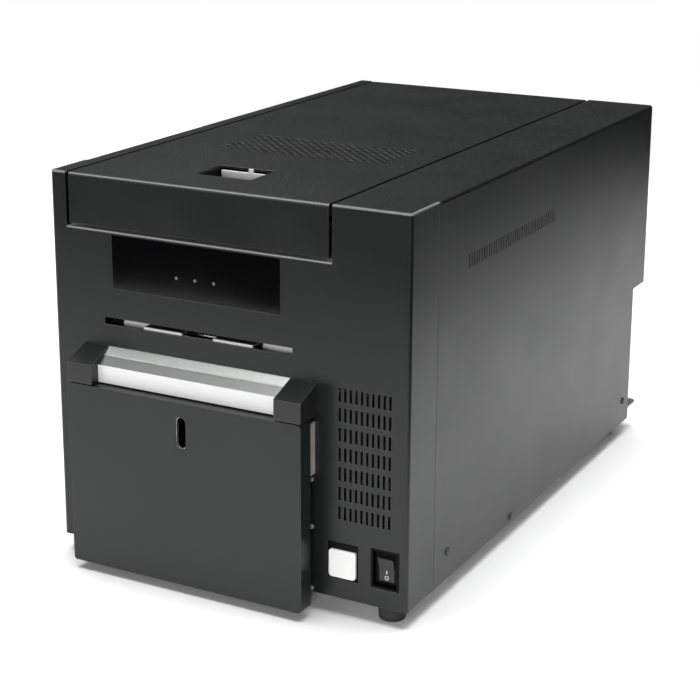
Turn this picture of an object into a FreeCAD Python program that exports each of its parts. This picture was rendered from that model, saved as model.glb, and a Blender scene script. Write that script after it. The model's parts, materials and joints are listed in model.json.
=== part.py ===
import FreeCAD, Part
import math
import os
import re

import Sketcher
from FreeCAD import Placement, Rotation, Vector

# Desktop card printer in bent sheet steel: a lid hinged along the rear edge of the top, a card
# hopper behind a side-hung door at the front, and the print mechanism between two frame plates.
# X runs to the right of someone facing the front, Y runs from the front to the back and Z up.
# The origin is on the table, under the centre of the whole machine. Sizes are millimetres.

SIZES = {
    # Sheet steel case
    "case_width": 275,
    "case_height": 267,
    "top_depth": 453.5,
    "rear_overhang": 26.5,
    "step_height": 115,
    "sheet": 1.5,
    "bend_radius": 2.5,
    "return_depth": 39.6,
    "seam": 0.5,
    "fit": 0.2,
    "air": 0.3,
    "running": 0.05,
    "overrun": 1,
    "left_strip": 12.2,
    "right_strip": 55.7,
    "strip_flange": 9,
    "foot_height": 13,
    "foot_radius": 10,
    "foot_toe_radius": 9,
    "foot_side_inset": 18.5,
    "foot_front_inset": 16,
    "foot_rear_inset": 12,
    "foot_recess_radius": 4,
    "foot_recess_depth": 8,
    "pan_wall": 26,
    "pan_front_wall": 6,
    "shelf_height": 10,
    "shelf_depth": 22,
    "shelf_corner": 5,
    # Case screws
    "screw_radius": 1.5,
    "screw_length": 6,
    "screw_head_radius": 3,
    "screw_head": 1.4,
    "screw_front_y": 61.9,
    "screw_middle_y": 171.8,
    "screw_rear_inset": 13.5,
    "screw_high": 19.5,
    "screw_low": 4.2,
    # Lid
    "lid_gap": 2.7,
    "skirt_drop": 35.4,
    "skirt_gap": 2.2,
    "skirt_lip": 8,
    "rear_skirt": 14,
    "lid_flange": 8,
    "knuckle_radius": 3.5,
    "hinge_pin_radius": 1.5,
    "knuckle_count": 7,
    "knuckle_gap": 0.4,
    "hinge_inset": 10,
    "finger_left": 94,
    "finger_width": 43,
    "finger_front": 37,
    "finger_depth": 33,
    "finger_corner": 2.5,
    "grille_left": 60,
    "grille_from_right": 87.5,
    "grille_front": 126,
    "grille_depth": 57.5,
    "grille_pitch": 7.5,
    "grille_hole_radius": 2.1,
    "liner_depth": 12,
    "liner_wall": 2,
    "liner_side_gap": 6,
    "liner_front": 8,
    "liner_rear": 30,
    # Lid latch
    "latch_width": 41,
    "latch_plate_thickness": 2,
    "latch_top": 3,
    "latch_pivot_drop": 13,
    "latch_pivot_back": 5.5,
    "latch_boss_radius": 3,
    "latch_pin_radius": 1.5,
    "latch_drop": 36,
    "latch_well": 20,
    "latch_tab": 3,
    "latch_nose": 4,
    "latch_ear": 3,
    "latch_clear": 1,
    # Display and status lights
    "display_inset": 34.85,
    "display_height": 38,
    "display_shift": 0.6,
    "display_below": 2.1,
    "display_thickness": 3,
    "display_flange": 3,
    "display_flange_thickness": 1.2,
    "light_radius": 1.1,
    "light_length": 5,
    "light_pitch": 14.7,
    "light_drop": 23.8,
    # Card exit
    "path_drop": 101.1,
    "exit_inset": 17.75,
    "exit_height": 5,
    "exit_guide_inner": 12.5,
    "exit_guide_thickness": 1.6,
    "exit_guide_depth": 10,
    "exit_guide_foot": 8,
    # Front vents
    "vent_width": 1.7,
    "vent_height": 9.5,
    "vent_column_pitch": 4.05,
    "vent_row_pitch": 13.6,
    "vent_columns": 10,
    "vent_rows": 7,
    "vent_right": 13.6,
    "vent_bottom": 55.9,
    # Side vents
    "side_vent_y": 86.3,
    "side_vent_length": 152.8,
    "side_vent_pitch": 4.08,
    "side_vent_drop": 54.5,
    "side_vent_height": 10,
    # Hopper door
    "door_stand": 22.3,
    "door_inset": 9,
    "door_shift": 0.9,
    "door_head": 142,
    "door_drop": 6.3,
    "door_depth": 13,
    "door_corner": 2.5,
    "door_slot_width": 8,
    "door_slot_height": 22.5,
    "door_slot_below": 10,
    "door_liner_thickness": 2,
    "door_hinge_back": 5.5,
    "door_hinge_inset": 12,
    "door_knuckle_count": 5,
    "door_leaf": 1.5,
    "strike_width": 3,
    "strike_height": 14,
    "strike_reach": 13,
    "strike_notch": 8,
    "strike_clear": 1.5,
    "slide_clear": 1.2,
    # Frame round the hopper mouth
    "mouth_inset": 13.85,
    "mouth_bottom": 8,
    "mouth_head": 8,
    "mouth_rim": 4,
    "mouth_stand": 8.5,
    "keeper_drop": 36,
    "keeper_leg": 8,
    # Output ledge
    "cap_width": 20,
    "cap_front_height": 14,
    "cap_rise": 8,
    "ledge_gap": 1,
    "ledge_recess": 8.2,
    "ledge_front_rise": 12.4,
    "ledge_groove_y": 6.8,
    "ledge_groove": 0.7,
    "ledge_wall": 2.5,
    # Open button
    "button_from_right": 47.5,
    "button_opening_width": 23,
    "button_opening_bottom": 13.4,
    "button_opening_height": 26.4,
    "button_width": 20,
    "button_height": 19.6,
    "button_bottom": 1.6,
    "button_proud": 1.5,
    "button_length": 9,
    "button_travel": 3,
    "stem_width": 12,
    "stem_height": 10,
    "stem_length": 12,
    "wedge": 8,
    "housing_side": 2.5,
    "housing_depth": 9.4,
    "slide_back": 3.5,
    "slide_depth": 5,
    "slide_height": 6,
    "slide_tail": 6,
    # Power switch
    "switch_from_right": 16.3,
    "switch_opening_width": 21,
    "switch_opening_bottom": 13.1,
    "switch_opening_height": 28,
    "switch_recess": 4,
    "switch_wall": 1.5,
    "switch_face_width": 15,
    "switch_face_height": 21,
    "switch_face": 1.2,
    "switch_body_depth": 14,
    "rocker_width": 11,
    "rocker_height": 17,
    "rocker_pivot_back": 2.6,
    "rocker_rise": 1.2,
    "rocker_depth": 5,
    "rocker_room": 9,
    "rocker_pin_radius": 1,
    "rocker_pin_length": 0.8,
    "rocker_tilt": 9,
    # Frame plates and card path
    "bay_inset": 8.85,
    "frame_thickness": 2,
    "frame_front": 12,
    "frame_rear": 15,
    "frame_drop": 18,
    "frame_foot": 9,
    "bar_radius": 4,
    "card": 0.8,
    "shaft_radius": 3,
    "bush_radius": 5,
    "bush_length": 6,
    "pulley_radius": 8,
    "pulley_width": 5,
    "pulley_gap": 1,
    "pulley_start": 3,
    "belt": 1.2,
    "belt_width": 4,
    "exit_y": 20,
    "exit_roller_radius": 6,
    "exit_tyre_width": 25,
    "exit_tyre_inset": 18.25,
    "platen_y": 104,
    "platen_radius": 8,
    "platen_inset": 21,
    "feed_y": 185,
    "feed_roller_radius": 7,
    "pick_y": 60,
    "pick_roller_radius": 8,
    "tyre_width": 18,
    "tyre_offset": 35,
    "guide_thickness": 1.5,
    "guide_clear": 1.5,
    "ramp_rear": 262,
    "tray_inset": 77,
    # Card hopper and lifter
    "hopper_inset": 21,
    "hopper_depth": 90,
    "hopper_front": 6,
    "hopper_wall": 2.5,
    "hopper_head": 11,
    "lifter_thickness": 3,
    "lifter_side_gap": 1,
    "lifter_tongue": 20,
    "lifter_slot_gap": 0.5,
    "lifter_notch": 30,
    # Ribbon hubs
    "hub_rise": 39.1,
    "takeup_y": 45,
    "supply_y": 165,
    "hub_radius": 11,
    "hub_length": 24,
    "hub_flange_radius": 15,
    "hub_flange": 2,
    "hub_rib": 2,
    "hub_gap": 1,
    "seat_radius": 6,
    # Drive
    "gear_module": 1,
    "gear_teeth": 48,
    "pinion_teeth": 16,
    "gear_width": 6,
    "backlash": 0.25,
    "pinion_width": 7,
    "motor_shaft_radius": 2.5,
    "motor_size": 42,
    "motor_length": 30,
    "motor_boss_radius": 11,
    "motor_boss": 2,
    "bracket_thickness": 2,
    "bracket_width": 56,
    "ribbon_motor_radius": 18,
    "ribbon_motor_length": 28,
    # Print head
    "head_inset": 17,
    "head_depth": 18,
    "head_height": 26,
    "head_gap": 0.6,
    "head_edge": 5,
    "head_edge_drop": 2,
    "head_rod_radius": 3,
    "head_rod_inset": 13,
    "head_travel": 3,
    "tower_plate": 3,
    "tower_depth": 30,
    "fin_pitch": 6,
    "fin_gap": 3,
    "fin_depth": 12,
    # Electronics
    "supply_box_width": 54,
    "supply_box_depth": 150,
    "supply_box_height": 84,
    "supply_box_rear": 37,
    "board_height": 90,
    "board_length": 150,
    "board_rear": 37,
    "board_thickness": 1.6,
    "board_stand": 8,
    "stand_radius": 3,
    "chip": 14,
    "chip_height": 2,
    "capacitor_radius": 5,
    "capacitor_height": 16,
    # Fan
    "fan_size": 60,
    "fan_depth": 15,
    "fan_bore_radius": 28,
    "fan_hub_radius": 12,
    "fan_blade_tip": 1,
    "fan_blade_thickness": 1.6,
    "fan_blade_count": 7,
    "fan_pin_radius": 1.5,
    "fan_spider": 2,
    "fan_spider_width": 4,
    "fan_lift": 1,
    "fan_ring_pitch": 6,
    "fan_slot": 3,
    # Rear sockets
    "inlet_width": 28,
    "inlet_height": 20,
    "inlet_depth": 18,
    "inlet_flange": 3,
    "inlet_flange_thickness": 1.5,
    "inlet_from_right": 45,
    "inlet_z": 70,
    "inlet_well": 14,
    "inlet_blade": 2,
    "socket_z": 70,
    "usb_width": 12,
    "usb_height": 11,
    "usb_from_right": 85,
    "network_width": 16,
    "network_height": 13.5,
    "network_from_right": 108,
    "socket_depth": 14,
    "socket_wall": 1.2,
    "socket_well": 11,
}

# Places worked out from the sizes above
PLACES = {
    "half": "case_width / 2",
    "front": "door_stand - (top_depth + door_stand) / 2",
    "back": "front + top_depth",
    "low_depth": "top_depth - rear_overhang",
    "low_back": "front + low_depth",
    "under": "foot_height",
    "top": "foot_height + case_height",
    "step": "foot_height + step_height",
    "inside_half": "half - sheet - fit",
    "lid_width": "case_width - left_strip - right_strip - 2 * lid_gap",
    "lane": "(left_strip - right_strip) / 2",
    "bay_width": "lid_width - 2 * bay_inset",
    "screw_rear_y": "low_depth - screw_rear_inset",
    "shelf_top": "under + shelf_height",
    "hinge_y": "back - knuckle_radius",
    "hinge_z": "top - rear_skirt",
    "hinge_length": "lid_width - 2 * hinge_inset",
    "knuckle_length": "(hinge_length - (knuckle_count - 1) * knuckle_gap) / knuckle_count",
    "notch_bottom": "top - skirt_drop - skirt_gap",
    "lid_under": "top - sheet",
    "liner_half": "lid_width / 2 - liner_side_gap",
    "finger_x": "finger_width / 2 + finger_left - half",
    "grille_width": "case_width - grille_left - grille_from_right",
    "latch_y": "front + finger_front + finger_depth - latch_plate_thickness / 2 - air",
    "latch_pivot_y": "latch_y + latch_pivot_back",
    "latch_pivot_z": "top - latch_pivot_drop",
    "path": "top - path_drop",
    "display_width": "lid_width - 2 * display_inset",
    "display_x": "lane - display_shift",
    "display_top": "notch_bottom - display_below",
    "exit_width": "bay_width - 2 * exit_inset",
    "exit_tyre_offset": "exit_width / 2 - exit_tyre_inset",
    "exit_guide_outer": "exit_tyre_offset - exit_tyre_width / 2 - seam",
    "door_width": "lid_width - 2 * door_inset",
    "door_top": "case_height - door_head",
    "mouth_width": "door_width - 2 * mouth_inset",
    "mouth_top": "door_top - mouth_head",
    "hopper_top": "door_top - hopper_head",
    "hopper_inner": "bay_width - 2 * hopper_inset",
    "door_x": "lane + door_shift",
    "door_front": "front - door_stand",
    "door_bottom": "under - door_drop",
    "door_upper": "under + door_top",
    "door_hinge_x": "door_x - door_width / 2 + knuckle_radius",
    "door_hinge_y": "front - door_hinge_back",
    "door_hinge_low": "under + door_hinge_inset",
    "door_hinge_length": "door_top - 2 * door_hinge_inset",
    "door_knuckle": "(door_hinge_length - (door_knuckle_count - 1) * knuckle_gap) / door_knuckle_count",
    "ledge_low": "door_upper + ledge_gap",
    "ledge_top": "ledge_low + cap_front_height + cap_rise",
    "button_x": "half - button_from_right",
    "button_z": "under + button_opening_bottom + button_bottom + button_height / 2",
    "button_opening_z": "under + button_opening_bottom + button_opening_height / 2",
    "stem_y": "front - button_proud + button_length",
    "stem_end": "stem_y + stem_length",
    "wedge_y": "stem_end - wedge",
    "lug_x": "button_x + stem_width / 2 + 3 * air / 2",
    "strike_right": "door_x + mouth_width / 2 - strike_clear",
    "slide_z": "under + button_opening_bottom + button_opening_height + slide_height",
    "switch_x": "half - switch_from_right",
    "switch_z": "under + switch_opening_bottom + switch_opening_height / 2",
    "switch_face_y": "front + switch_recess",
    "frame_bottom": "under + sheet",
    "frame_top": "top - frame_drop",
    "frame_length": "low_depth - frame_front - frame_rear",
    "tray_rear": "low_depth - tray_inset",
    "frame_right": "lane + bay_width / 2",
    "frame_left": "lane - bay_width / 2",
    "drive_x": "frame_right + frame_thickness + pulley_start",
    "second_x": "drive_x + pulley_width + pulley_gap",
    "gear_x": "second_x + pulley_width + pulley_gap",
    "bracket_x": "gear_x + gear_width + pulley_gap + pulley_start",
    "exit_roller_z": "path - card / 2 - exit_roller_radius",
    "pinch_z": "path + card / 2 + exit_roller_radius",
    "platen_z": "path - card / 2 - platen_radius",
    "feed_z": "path - card / 2 - feed_roller_radius",
    "pick_z": "under + hopper_top + 2 * card + pick_roller_radius",
    "gear_distance": "gear_module * (gear_teeth + pinion_teeth) / 2",
    "platen_width": "bay_width - 2 * platen_inset",
    "motor_y": "front + platen_y",
    "motor_z": "platen_z - gear_distance",
    "hub_z": "path + hub_rise",
    "head_width": "bay_width - 2 * head_inset",
    "head_rod_offset": "head_width / 2 - head_rod_inset",
    "head_bottom": "path + card / 2 + head_gap",
    "fan_x": "half - sheet - 2 * fit - fan_size / 2",
    "fan_z": "(step + hinge_z) / 2 + fan_lift",
    "fan_y": "back - sheet - fan_depth",
    "supply_box_y": "low_depth - supply_box_depth - supply_box_rear",
    "board_y": "low_depth - board_length - board_rear",
    "board_z": "frame_bottom + supply_box_height + chip",
    "inlet_x": "half - inlet_from_right",
    "usb_x": "half - usb_from_right",
    "network_x": "half - network_from_right",
}

CASE_SCREW_ROWS = (
    ("screw_front_y", "screw_high"),
    ("screw_middle_y", "screw_low"),
    ("screw_rear_y", "screw_high"),
)

# Cross bars, as shares of the frame plates' length and height
CROSS_BAR_SHARES = ((0.55, 0.12), (0.95, 0.12), (0.95, 0.90))

AXES = {
    "x": Rotation(Vector(0, 1, 0), 90),
    "y": Rotation(Vector(1, 0, 0), -90),
    "z": Rotation(),
}

doc = FreeCAD.newDocument("CardPrinter")
nodes = []


# The sheet of driving sizes
def make_sheet():
    sheet = doc.addObject("Spreadsheet::Sheet", "Sizes")
    for row, (name, value) in enumerate(SIZES.items(), start=1):
        sheet.set(f"A{row}", name)
        sheet.set(f"B{row}", str(value))
        sheet.setAlias(f"B{row}", name)
    doc.recompute()
    return sheet


sizes = make_sheet()


def bound(text):
    """The text as an expression: each size is a cell and each place is written out."""
    def swap(found):
        word = found.group()
        if word in PLACES:
            return "(" + bound(PLACES[word]) + ")"
        return "Sizes." + word if word in SIZES else word
    return re.sub(r"[a-z_]+", swap, str(text))


def number(text):
    return float(sizes.evalExpression(bound(text)))


def vector(x, y, z):
    return Vector(number(x), number(y), number(z))


def place(item, x, y, z, turn=None):
    if turn is not None:
        item.Placement = Placement(Vector(), turn)
    item.setExpression("Placement.Base.x", bound(x))
    item.setExpression("Placement.Base.y", bound(y))
    item.setExpression("Placement.Base.z", bound(z))
    return item


# Solids that a sub-part is put together from
def box(x, y, z, length, depth, height):
    item = doc.addObject("Part::Box", "box")
    item.setExpression("Length", bound(length))
    item.setExpression("Width", bound(depth))
    item.setExpression("Height", bound(height))
    return place(item, x, y, z)


def span(x, y, z):
    """A box between two bounds on each axis."""
    (x_low, x_high), (y_low, y_high), (z_low, z_high) = x, y, z
    return box(x_low, y_low, z_low, f"({x_high}) - ({x_low})", f"({y_high}) - ({y_low})",
               f"({z_high}) - ({z_low})")


def across(middle, width):
    return f"({middle}) - ({width}) / 2", f"({middle}) + ({width}) / 2"


def rod(axis, radius, length, x, y, z):
    item = doc.addObject("Part::Cylinder", "rod")
    item.setExpression("Radius", bound(radius))
    item.setExpression("Height", bound(length))
    return place(item, x, y, z, AXES[axis])


def cone(low_radius, high_radius, height, x, y, z):
    item = doc.addObject("Part::Cone", "cone")
    item.setExpression("Radius1", bound(low_radius))
    item.setExpression("Radius2", bound(high_radius))
    item.setExpression("Height", bound(height))
    return place(item, x, y, z)


def fuse(*pieces):
    if len(pieces) == 1:
        return pieces[0]
    item = doc.addObject("Part::MultiFuse", "joined")
    item.Shapes = list(pieces)
    return item


def cut(base, *tools):
    item = doc.addObject("Part::Cut", "trimmed")
    item.Base = base
    item.Tool = fuse(*tools)
    return item


def group(*pieces):
    item = doc.addObject("Part::Compound", "set")
    item.Links = list(pieces)
    return item


def node(name, item):
    """Names a finished sub-part, which is written to its own file."""
    item.Label = name
    nodes.append(item)
    return item


# Sketched bodies
def sketch(body, plane, offset="0"):
    item = body.newObject("Sketcher::SketchObject", "outline")
    support = [origin for origin in body.Origin.OriginFeatures if origin.Role == plane]
    item.AttachmentSupport = [(support[0], "")]
    item.MapMode = "FlatFace"
    item.setExpression("AttachmentOffset.Base.z", bound(offset))
    return item


def polygon(item, points):
    """Closed outline whose corners are tied to the sizes."""
    first = item.GeometryCount
    corners = [Vector(number(x), number(y), 0) for x, y in points]
    count = len(points)
    for index in range(count):
        line = Part.LineSegment(corners[index], corners[(index + 1) % count])
        item.addGeometry(line, False)
    for index in range(count):
        following = first + (index + 1) % count
        item.addConstraint(Sketcher.Constraint("Coincident", first + index, 2, following, 1))
    for index, (x, y) in enumerate(points):
        for kind, text in (("DistanceX", x), ("DistanceY", y)):
            value = number(text)
            if abs(value) < 1e-9:
                on_axis = -2 if kind == "DistanceX" else -1
                item.addConstraint(Sketcher.Constraint("PointOnObject", first + index, 1, on_axis))
                continue
            row = item.addConstraint(
                Sketcher.Constraint(kind, -1, 1, first + index, 1, value))
            item.setExpression(f"Constraints[{row}]", bound(text))
    return item


def rectangle(item, x, y):
    (left, right), (low, high) = x, y
    return polygon(item, ((left, low), (right, low), (right, high), (left, high)))


def circle(item, x, y, radius):
    row = item.addGeometry(
        Part.Circle(Vector(number(x), number(y), 0), Vector(0, 0, 1), number(radius)), False)
    for kind, text in (("DistanceX", x), ("DistanceY", y)):
        constraint = item.addConstraint(Sketcher.Constraint(kind, -1, 1, row, 3, number(text)))
        item.setExpression(f"Constraints[{constraint}]", bound(text))
    constraint = item.addConstraint(Sketcher.Constraint("Radius", row, number(radius)))
    item.setExpression(f"Constraints[{constraint}]", bound(radius))
    return item


def pad(body, outline, length, middle=False, turned=False):
    item = body.newObject("PartDesign::Pad", "pad")
    item.Profile = outline
    item.setExpression("Length", bound(length))
    item.Midplane = middle
    item.Reversed = turned
    outline.Visibility = False
    doc.recompute()
    return item


def pocket(body, outline, depth, turned=False, middle=False):
    """Cuts the outline, and stops if nothing was removed."""
    before = body.Shape.Volume
    item = body.newObject("PartDesign::Pocket", "pocket")
    item.Profile = outline
    item.setExpression("Length", bound(depth))
    item.Midplane = middle
    item.Reversed = turned
    doc.recompute()
    if not body.Shape.Volume < before:
        raise ValueError("a pocket in " + body.Label + " removed nothing")
    return item


def round_edges(body, radius, chosen):
    """Rounds the edges of the body for which chosen(middle, direction) holds."""
    names = []
    for index, edge in enumerate(body.Shape.Edges, start=1):
        if edge.Curve.TypeId != "Part::GeomLine":
            continue
        middle = edge.valueAt((edge.FirstParameter + edge.LastParameter) / 2)
        if chosen(middle, edge.Curve.Direction):
            names.append(f"Edge{index}")
    if not names:
        raise ValueError("no edge to round in " + body.Label)
    tip = body.Tip
    item = body.newObject("PartDesign::Fillet", "bend")
    item.Base = (tip, names)
    item.setExpression("Radius", bound(radius))
    doc.recompute()
    return item


def near(value, text):
    return abs(value - number(text)) < 0.01


def sheet_bend(body, direction, outer, inner):
    """Rounds a bend of the sheet: the outside at the bend radius, the inside less the sheet."""
    def along(line):
        return abs(line.dot(direction)) > 0.99

    def at(corner):
        def test(middle, line):
            spots = zip(corner, middle)
            return along(line) and all(text is None or near(value, text) for text, value in spots)
        return test

    round_edges(body, "bend_radius", at(outer))
    round_edges(body, "bend_radius - sheet", at(inner))


def copies(shape, places):
    """A group of the same tool at many places, such as the slots of a grille."""
    item = doc.addObject("Part::Feature", "rows")
    item.Shape = Part.makeCompound([shape.translated(place) for place in places])
    return item


def block(length, depth, height):
    """A box centred on the origin, as a bare shape."""
    return Part.makeBox(length, depth, height, Vector(-length / 2, -depth / 2, -height / 2))


def gear_shape(teeth, width, phase):
    """A spur gear round the X axis, with involute flanks drawn as arcs."""
    module = number("gear_module")
    pressure = math.radians(20)
    pitch_radius = module * teeth / 2
    base_radius = pitch_radius * math.cos(pressure)
    tip_radius = pitch_radius + module
    root_radius = pitch_radius - 1.25 * module
    start_radius = max(base_radius, root_radius)
    involute = math.tan(pressure) - pressure
    half_tooth = math.pi / (2 * teeth) - number("backlash") / (4 * pitch_radius)

    def flank(radius, side, centre):
        angle = math.acos(min(1, base_radius / radius))
        spread = half_tooth + involute - (math.tan(angle) - angle)
        return at(radius, centre + side * spread)

    def at(radius, angle):
        return Vector(0, radius * math.cos(angle), radius * math.sin(angle))

    edges = []
    step = 2 * math.pi / teeth
    middle_radius = (start_radius + tip_radius) / 2
    for tooth in range(teeth):
        centre = phase + tooth * step
        rise = [flank(radius, -1, centre) for radius in (start_radius, middle_radius, tip_radius)]
        fall = [flank(radius, 1, centre) for radius in (tip_radius, middle_radius, start_radius)]
        following = flank(start_radius, -1, centre + step)
        low = math.atan2(fall[2].z, fall[2].y)
        high = math.atan2(following.z, following.y)
        edges.append(Part.Arc(*rise).toShape())
        edges.append(Part.LineSegment(rise[2], fall[0]).toShape())
        edges.append(Part.Arc(*fall).toShape())
        floor = [fall[2], at(root_radius, low), at(root_radius, high), following]
        if start_radius == root_radius:
            floor = [fall[2], following]
        for corner, after in zip(floor, floor[1:]):
            edges.append(Part.LineSegment(corner, after).toShape())
    return Part.Face(Part.Wire(edges)).extrude(Vector(width, 0, 0))


def feature(shape, x, y, z):
    item = doc.addObject("Part::Feature", "shaped")
    item.Shape = shape
    return place(item, x, y, z)


# Case
def base_pan():
    """Zinc-plated tray, whose floor steps up at the rear into a shelf that stands past the case."""
    wide = ("-inside_half", "inside_half")
    outer_y = "front + bend_radius"
    riser = "low_back - sheet - fit - sheet"
    floor = span(wide, (outer_y, riser), ("under", "under + sheet"))
    walls = []
    for side in (("-inside_half", "sheet - inside_half"), ("inside_half - sheet", "inside_half")):
        walls.append(span(side, ("front + return_depth + seam", riser),
                          ("under", "under + pan_wall")))
    front_wall = span(wide, (outer_y, f"{outer_y} + sheet"), ("under", "under + pan_front_wall"))
    rise = span(wide, (riser, f"{riser} + sheet"), ("under", "shelf_top"))
    lip = span(wide, (riser, "low_back + fit"), ("shelf_top - sheet", "shelf_top"))
    shelf = doc.addObject("PartDesign::Body", "shelf")
    outline = sketch(shelf, "XY_Plane", "shelf_top - sheet")
    rectangle(outline, ("-half", "half"), ("low_back + fit", "low_back + shelf_depth"))
    pad(shelf, outline, "sheet")
    round_edges(shelf, "shelf_corner", lambda middle, line: abs(line.z) > 0.99
                and near(middle.y, "low_back + shelf_depth"))
    tray = fuse(floor, front_wall, rise, lip, shelf, *walls)
    holes = [rod("x", "screw_radius", "case_width", "-half", f"front + {y}", f"under + {z}")
             for y, z in CASE_SCREW_ROWS]
    holes += [rod("z", "screw_radius", "sheet + 2 * overrun", x, y, "under - overrun")
              for x, y in foot_places()]
    return node("base_pan", cut(tray, *holes))


def foot_places():
    for x in ("foot_side_inset - half", "half - foot_side_inset"):
        for y in ("front + foot_front_inset", "low_back - foot_rear_inset"):
            yield x, y


def rubber_feet():
    feet = []
    for x, y in foot_places():
        foot = cone("foot_toe_radius", "foot_radius", "foot_height", x, y, "0")
        recess = rod("z", "foot_recess_radius", "foot_recess_depth", x, y, "0")
        bore = rod("z", "screw_radius + fit", "foot_height", x, y, "0")
        feet.append(cut(foot, recess, bore))
    return node("rubber_feet", group(*feet))


def case_screws():
    """Side screws into the pan's walls, and the screws that hold the feet."""
    screws = []
    for side in (-1, 1):
        for y, z in CASE_SCREW_ROWS:
            ends = (f"{side} * half", f"{side} * (half - screw_length)")
            x_low, x_high = ends if side < 0 else ends[::-1]
            shank = rod("x", "screw_radius", f"({x_high}) - ({x_low})", x_low,
                        f"front + {y}", f"under + {z}")
            head_x = "half" if side > 0 else "-half - screw_head"
            head = rod("x", "screw_head_radius", "screw_head", head_x,
                       f"front + {y}", f"under + {z}")
            screws.append(fuse(shank, head))
    for x, y in foot_places():
        shank = rod("z", "screw_radius", "under + sheet - foot_recess_depth",
                    x, y, "foot_recess_depth")
        head = rod("z", "screw_head_radius", "screw_head", x, y, "foot_recess_depth - screw_head")
        screws.append(fuse(shank, head))
    return node("case_screws", group(*screws))


def front_panel():
    """Front plate with a bent return on each side, cut out for all that comes through it."""
    body = doc.addObject("PartDesign::Body", "front_sheet")
    outline = sketch(body, "XY_Plane", "under")
    rear = "front + return_depth"
    polygon(outline, (
        ("-half", rear), ("-half", "front"), ("half", "front"), ("half", rear),
        ("half - sheet", rear), ("half - sheet", "front + sheet"),
        ("sheet - half", "front + sheet"), ("sheet - half", rear),
    ))
    pad(body, outline, "case_height")
    up = Vector(0, 0, 1)
    for outer, inner in (("half", "half - sheet"), ("-half", "sheet - half")):
        sheet_bend(body, up, (outer, "front", None), (inner, "front + sheet", None))
    openings = sketch(body, "XZ_Plane", "-front")
    rectangle(openings, ("left_strip - half", "half - right_strip"),
              ("notch_bottom", "top + overrun"))
    rectangle(openings, across("display_x", "display_width"),
              ("display_top - display_height", "display_top"))
    rectangle(openings, across("lane", "exit_width"), across("path", "exit_height"))
    rectangle(openings, across("door_x", "mouth_width"),
              ("under + mouth_bottom", "under + mouth_top"))
    rectangle(openings, across("button_x", "button_opening_width"),
              across("button_opening_z", "button_opening_height"))
    rectangle(openings, across("switch_x", "switch_opening_width"),
              across("switch_z", "switch_opening_height"))
    pocket(body, openings, "sheet + overrun")
    lip = span(("left_strip - half", "half - right_strip"), ("front + sheet", "front + skirt_lip"),
               ("notch_bottom - sheet", "notch_bottom"))
    slot = block(number("vent_width"), number("2 * (sheet + overrun)"), number("vent_height"))
    last = vector("half - vent_right", "front", "under + vent_bottom + vent_height / 2")
    spots = []
    for column in range(int(number("vent_columns"))):
        for row in range(int(number("vent_rows"))):
            spots.append(last + Vector(-column * number("vent_column_pitch"), 0,
                                       row * number("vent_row_pitch")))
    return node("front_panel", cut(fuse(body, lip), copies(slot, spots)))


def side_panel(name, side, strip):
    """Side plate, bent over at the top into the strip beside the lid, with a flange in the gap."""
    def x(text):
        return f"{side} * ({text})"

    body = doc.addObject("PartDesign::Body", "side_sheet")
    start = "front + return_depth + seam"
    outline = sketch(body, "XZ_Plane", f"-({start})")
    polygon(outline, (
        (x("half"), "under"), (x("half"), "top"),
        (x(f"half - {strip}"), "top"), (x(f"half - {strip}"), "top - strip_flange"),
        (x(f"half - {strip} + sheet"), "top - strip_flange"),
        (x(f"half - {strip} + sheet"), "lid_under"),
        (x("half - sheet"), "lid_under"), (x("half - sheet"), "under"),
    ))
    pad(body, outline, f"back - ({start})", turned=True)
    deep = Vector(0, 1, 0)
    sheet_bend(body, deep, (x("half"), None, "top"), (x("half - sheet"), None, "lid_under"))
    ends = (x("half - sheet - fit"), x(f"half - {strip}"))
    flange_ends = (x(f"half - {strip} + sheet"), x(f"half - {strip}"))
    order = 1 if side < 0 else -1
    front_y = ("front + bend_radius", start)
    tongue = span(ends[::order], front_y, ("lid_under", "top"))
    flange = span(flange_ends[::order], (f"front + skirt_lip + fit", start),
                  ("top - strip_flange", "top"))
    step_cut = span(("-half - overrun", "half + overrun"), ("low_back", "back + overrun"),
                    ("under - overrun", "step"))
    relief = span(flange_ends[::order], ("back - sheet - fit", "back + overrun"),
                  ("top - strip_flange - overrun", "lid_under"))
    slot = block(number("2 * (sheet + overrun)"), number("vent_width"),
                 number("side_vent_height"))
    first = vector(x("half"), "front + side_vent_y + vent_width / 2", "top - side_vent_drop + side_vent_height")
    pitch = number("side_vent_pitch")
    count = int(number("side_vent_length - vent_width") / pitch + pitch / 1000) + 1
    spots = [first + Vector(0, index * pitch, -number("side_vent_height") / 2)
             for index in range(count)]
    holes = [rod("x", "screw_radius + fit", "case_width + 2 * overrun", "-half - overrun",
                 f"front + {y}", f"under + {z}") for y, z in CASE_SCREW_ROWS]
    return node(name, cut(fuse(body, tongue, flange), step_cut, relief,
                          copies(slot, spots), *holes))


def lid_knuckles(first, low, high):
    """Every second knuckle of the lid hinge, each with its piece of the sheet it is rolled from."""
    pieces = []
    for index in range(first, int(number("knuckle_count")), 2):
        start = f"lane - hinge_length / 2 + {index} * (knuckle_length + knuckle_gap)"
        ends = (start, f"{start} + knuckle_length")
        pieces.append(rod("x", "knuckle_radius", "knuckle_length", start, "hinge_y", "hinge_z"))
        pieces.append(span(ends, ("back - sheet", "back"), (low, high)))
    return pieces


def lid_pin_bore():
    return rod("x", "hinge_pin_radius + running", "case_width", "-half", "hinge_y", "hinge_z")


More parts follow.
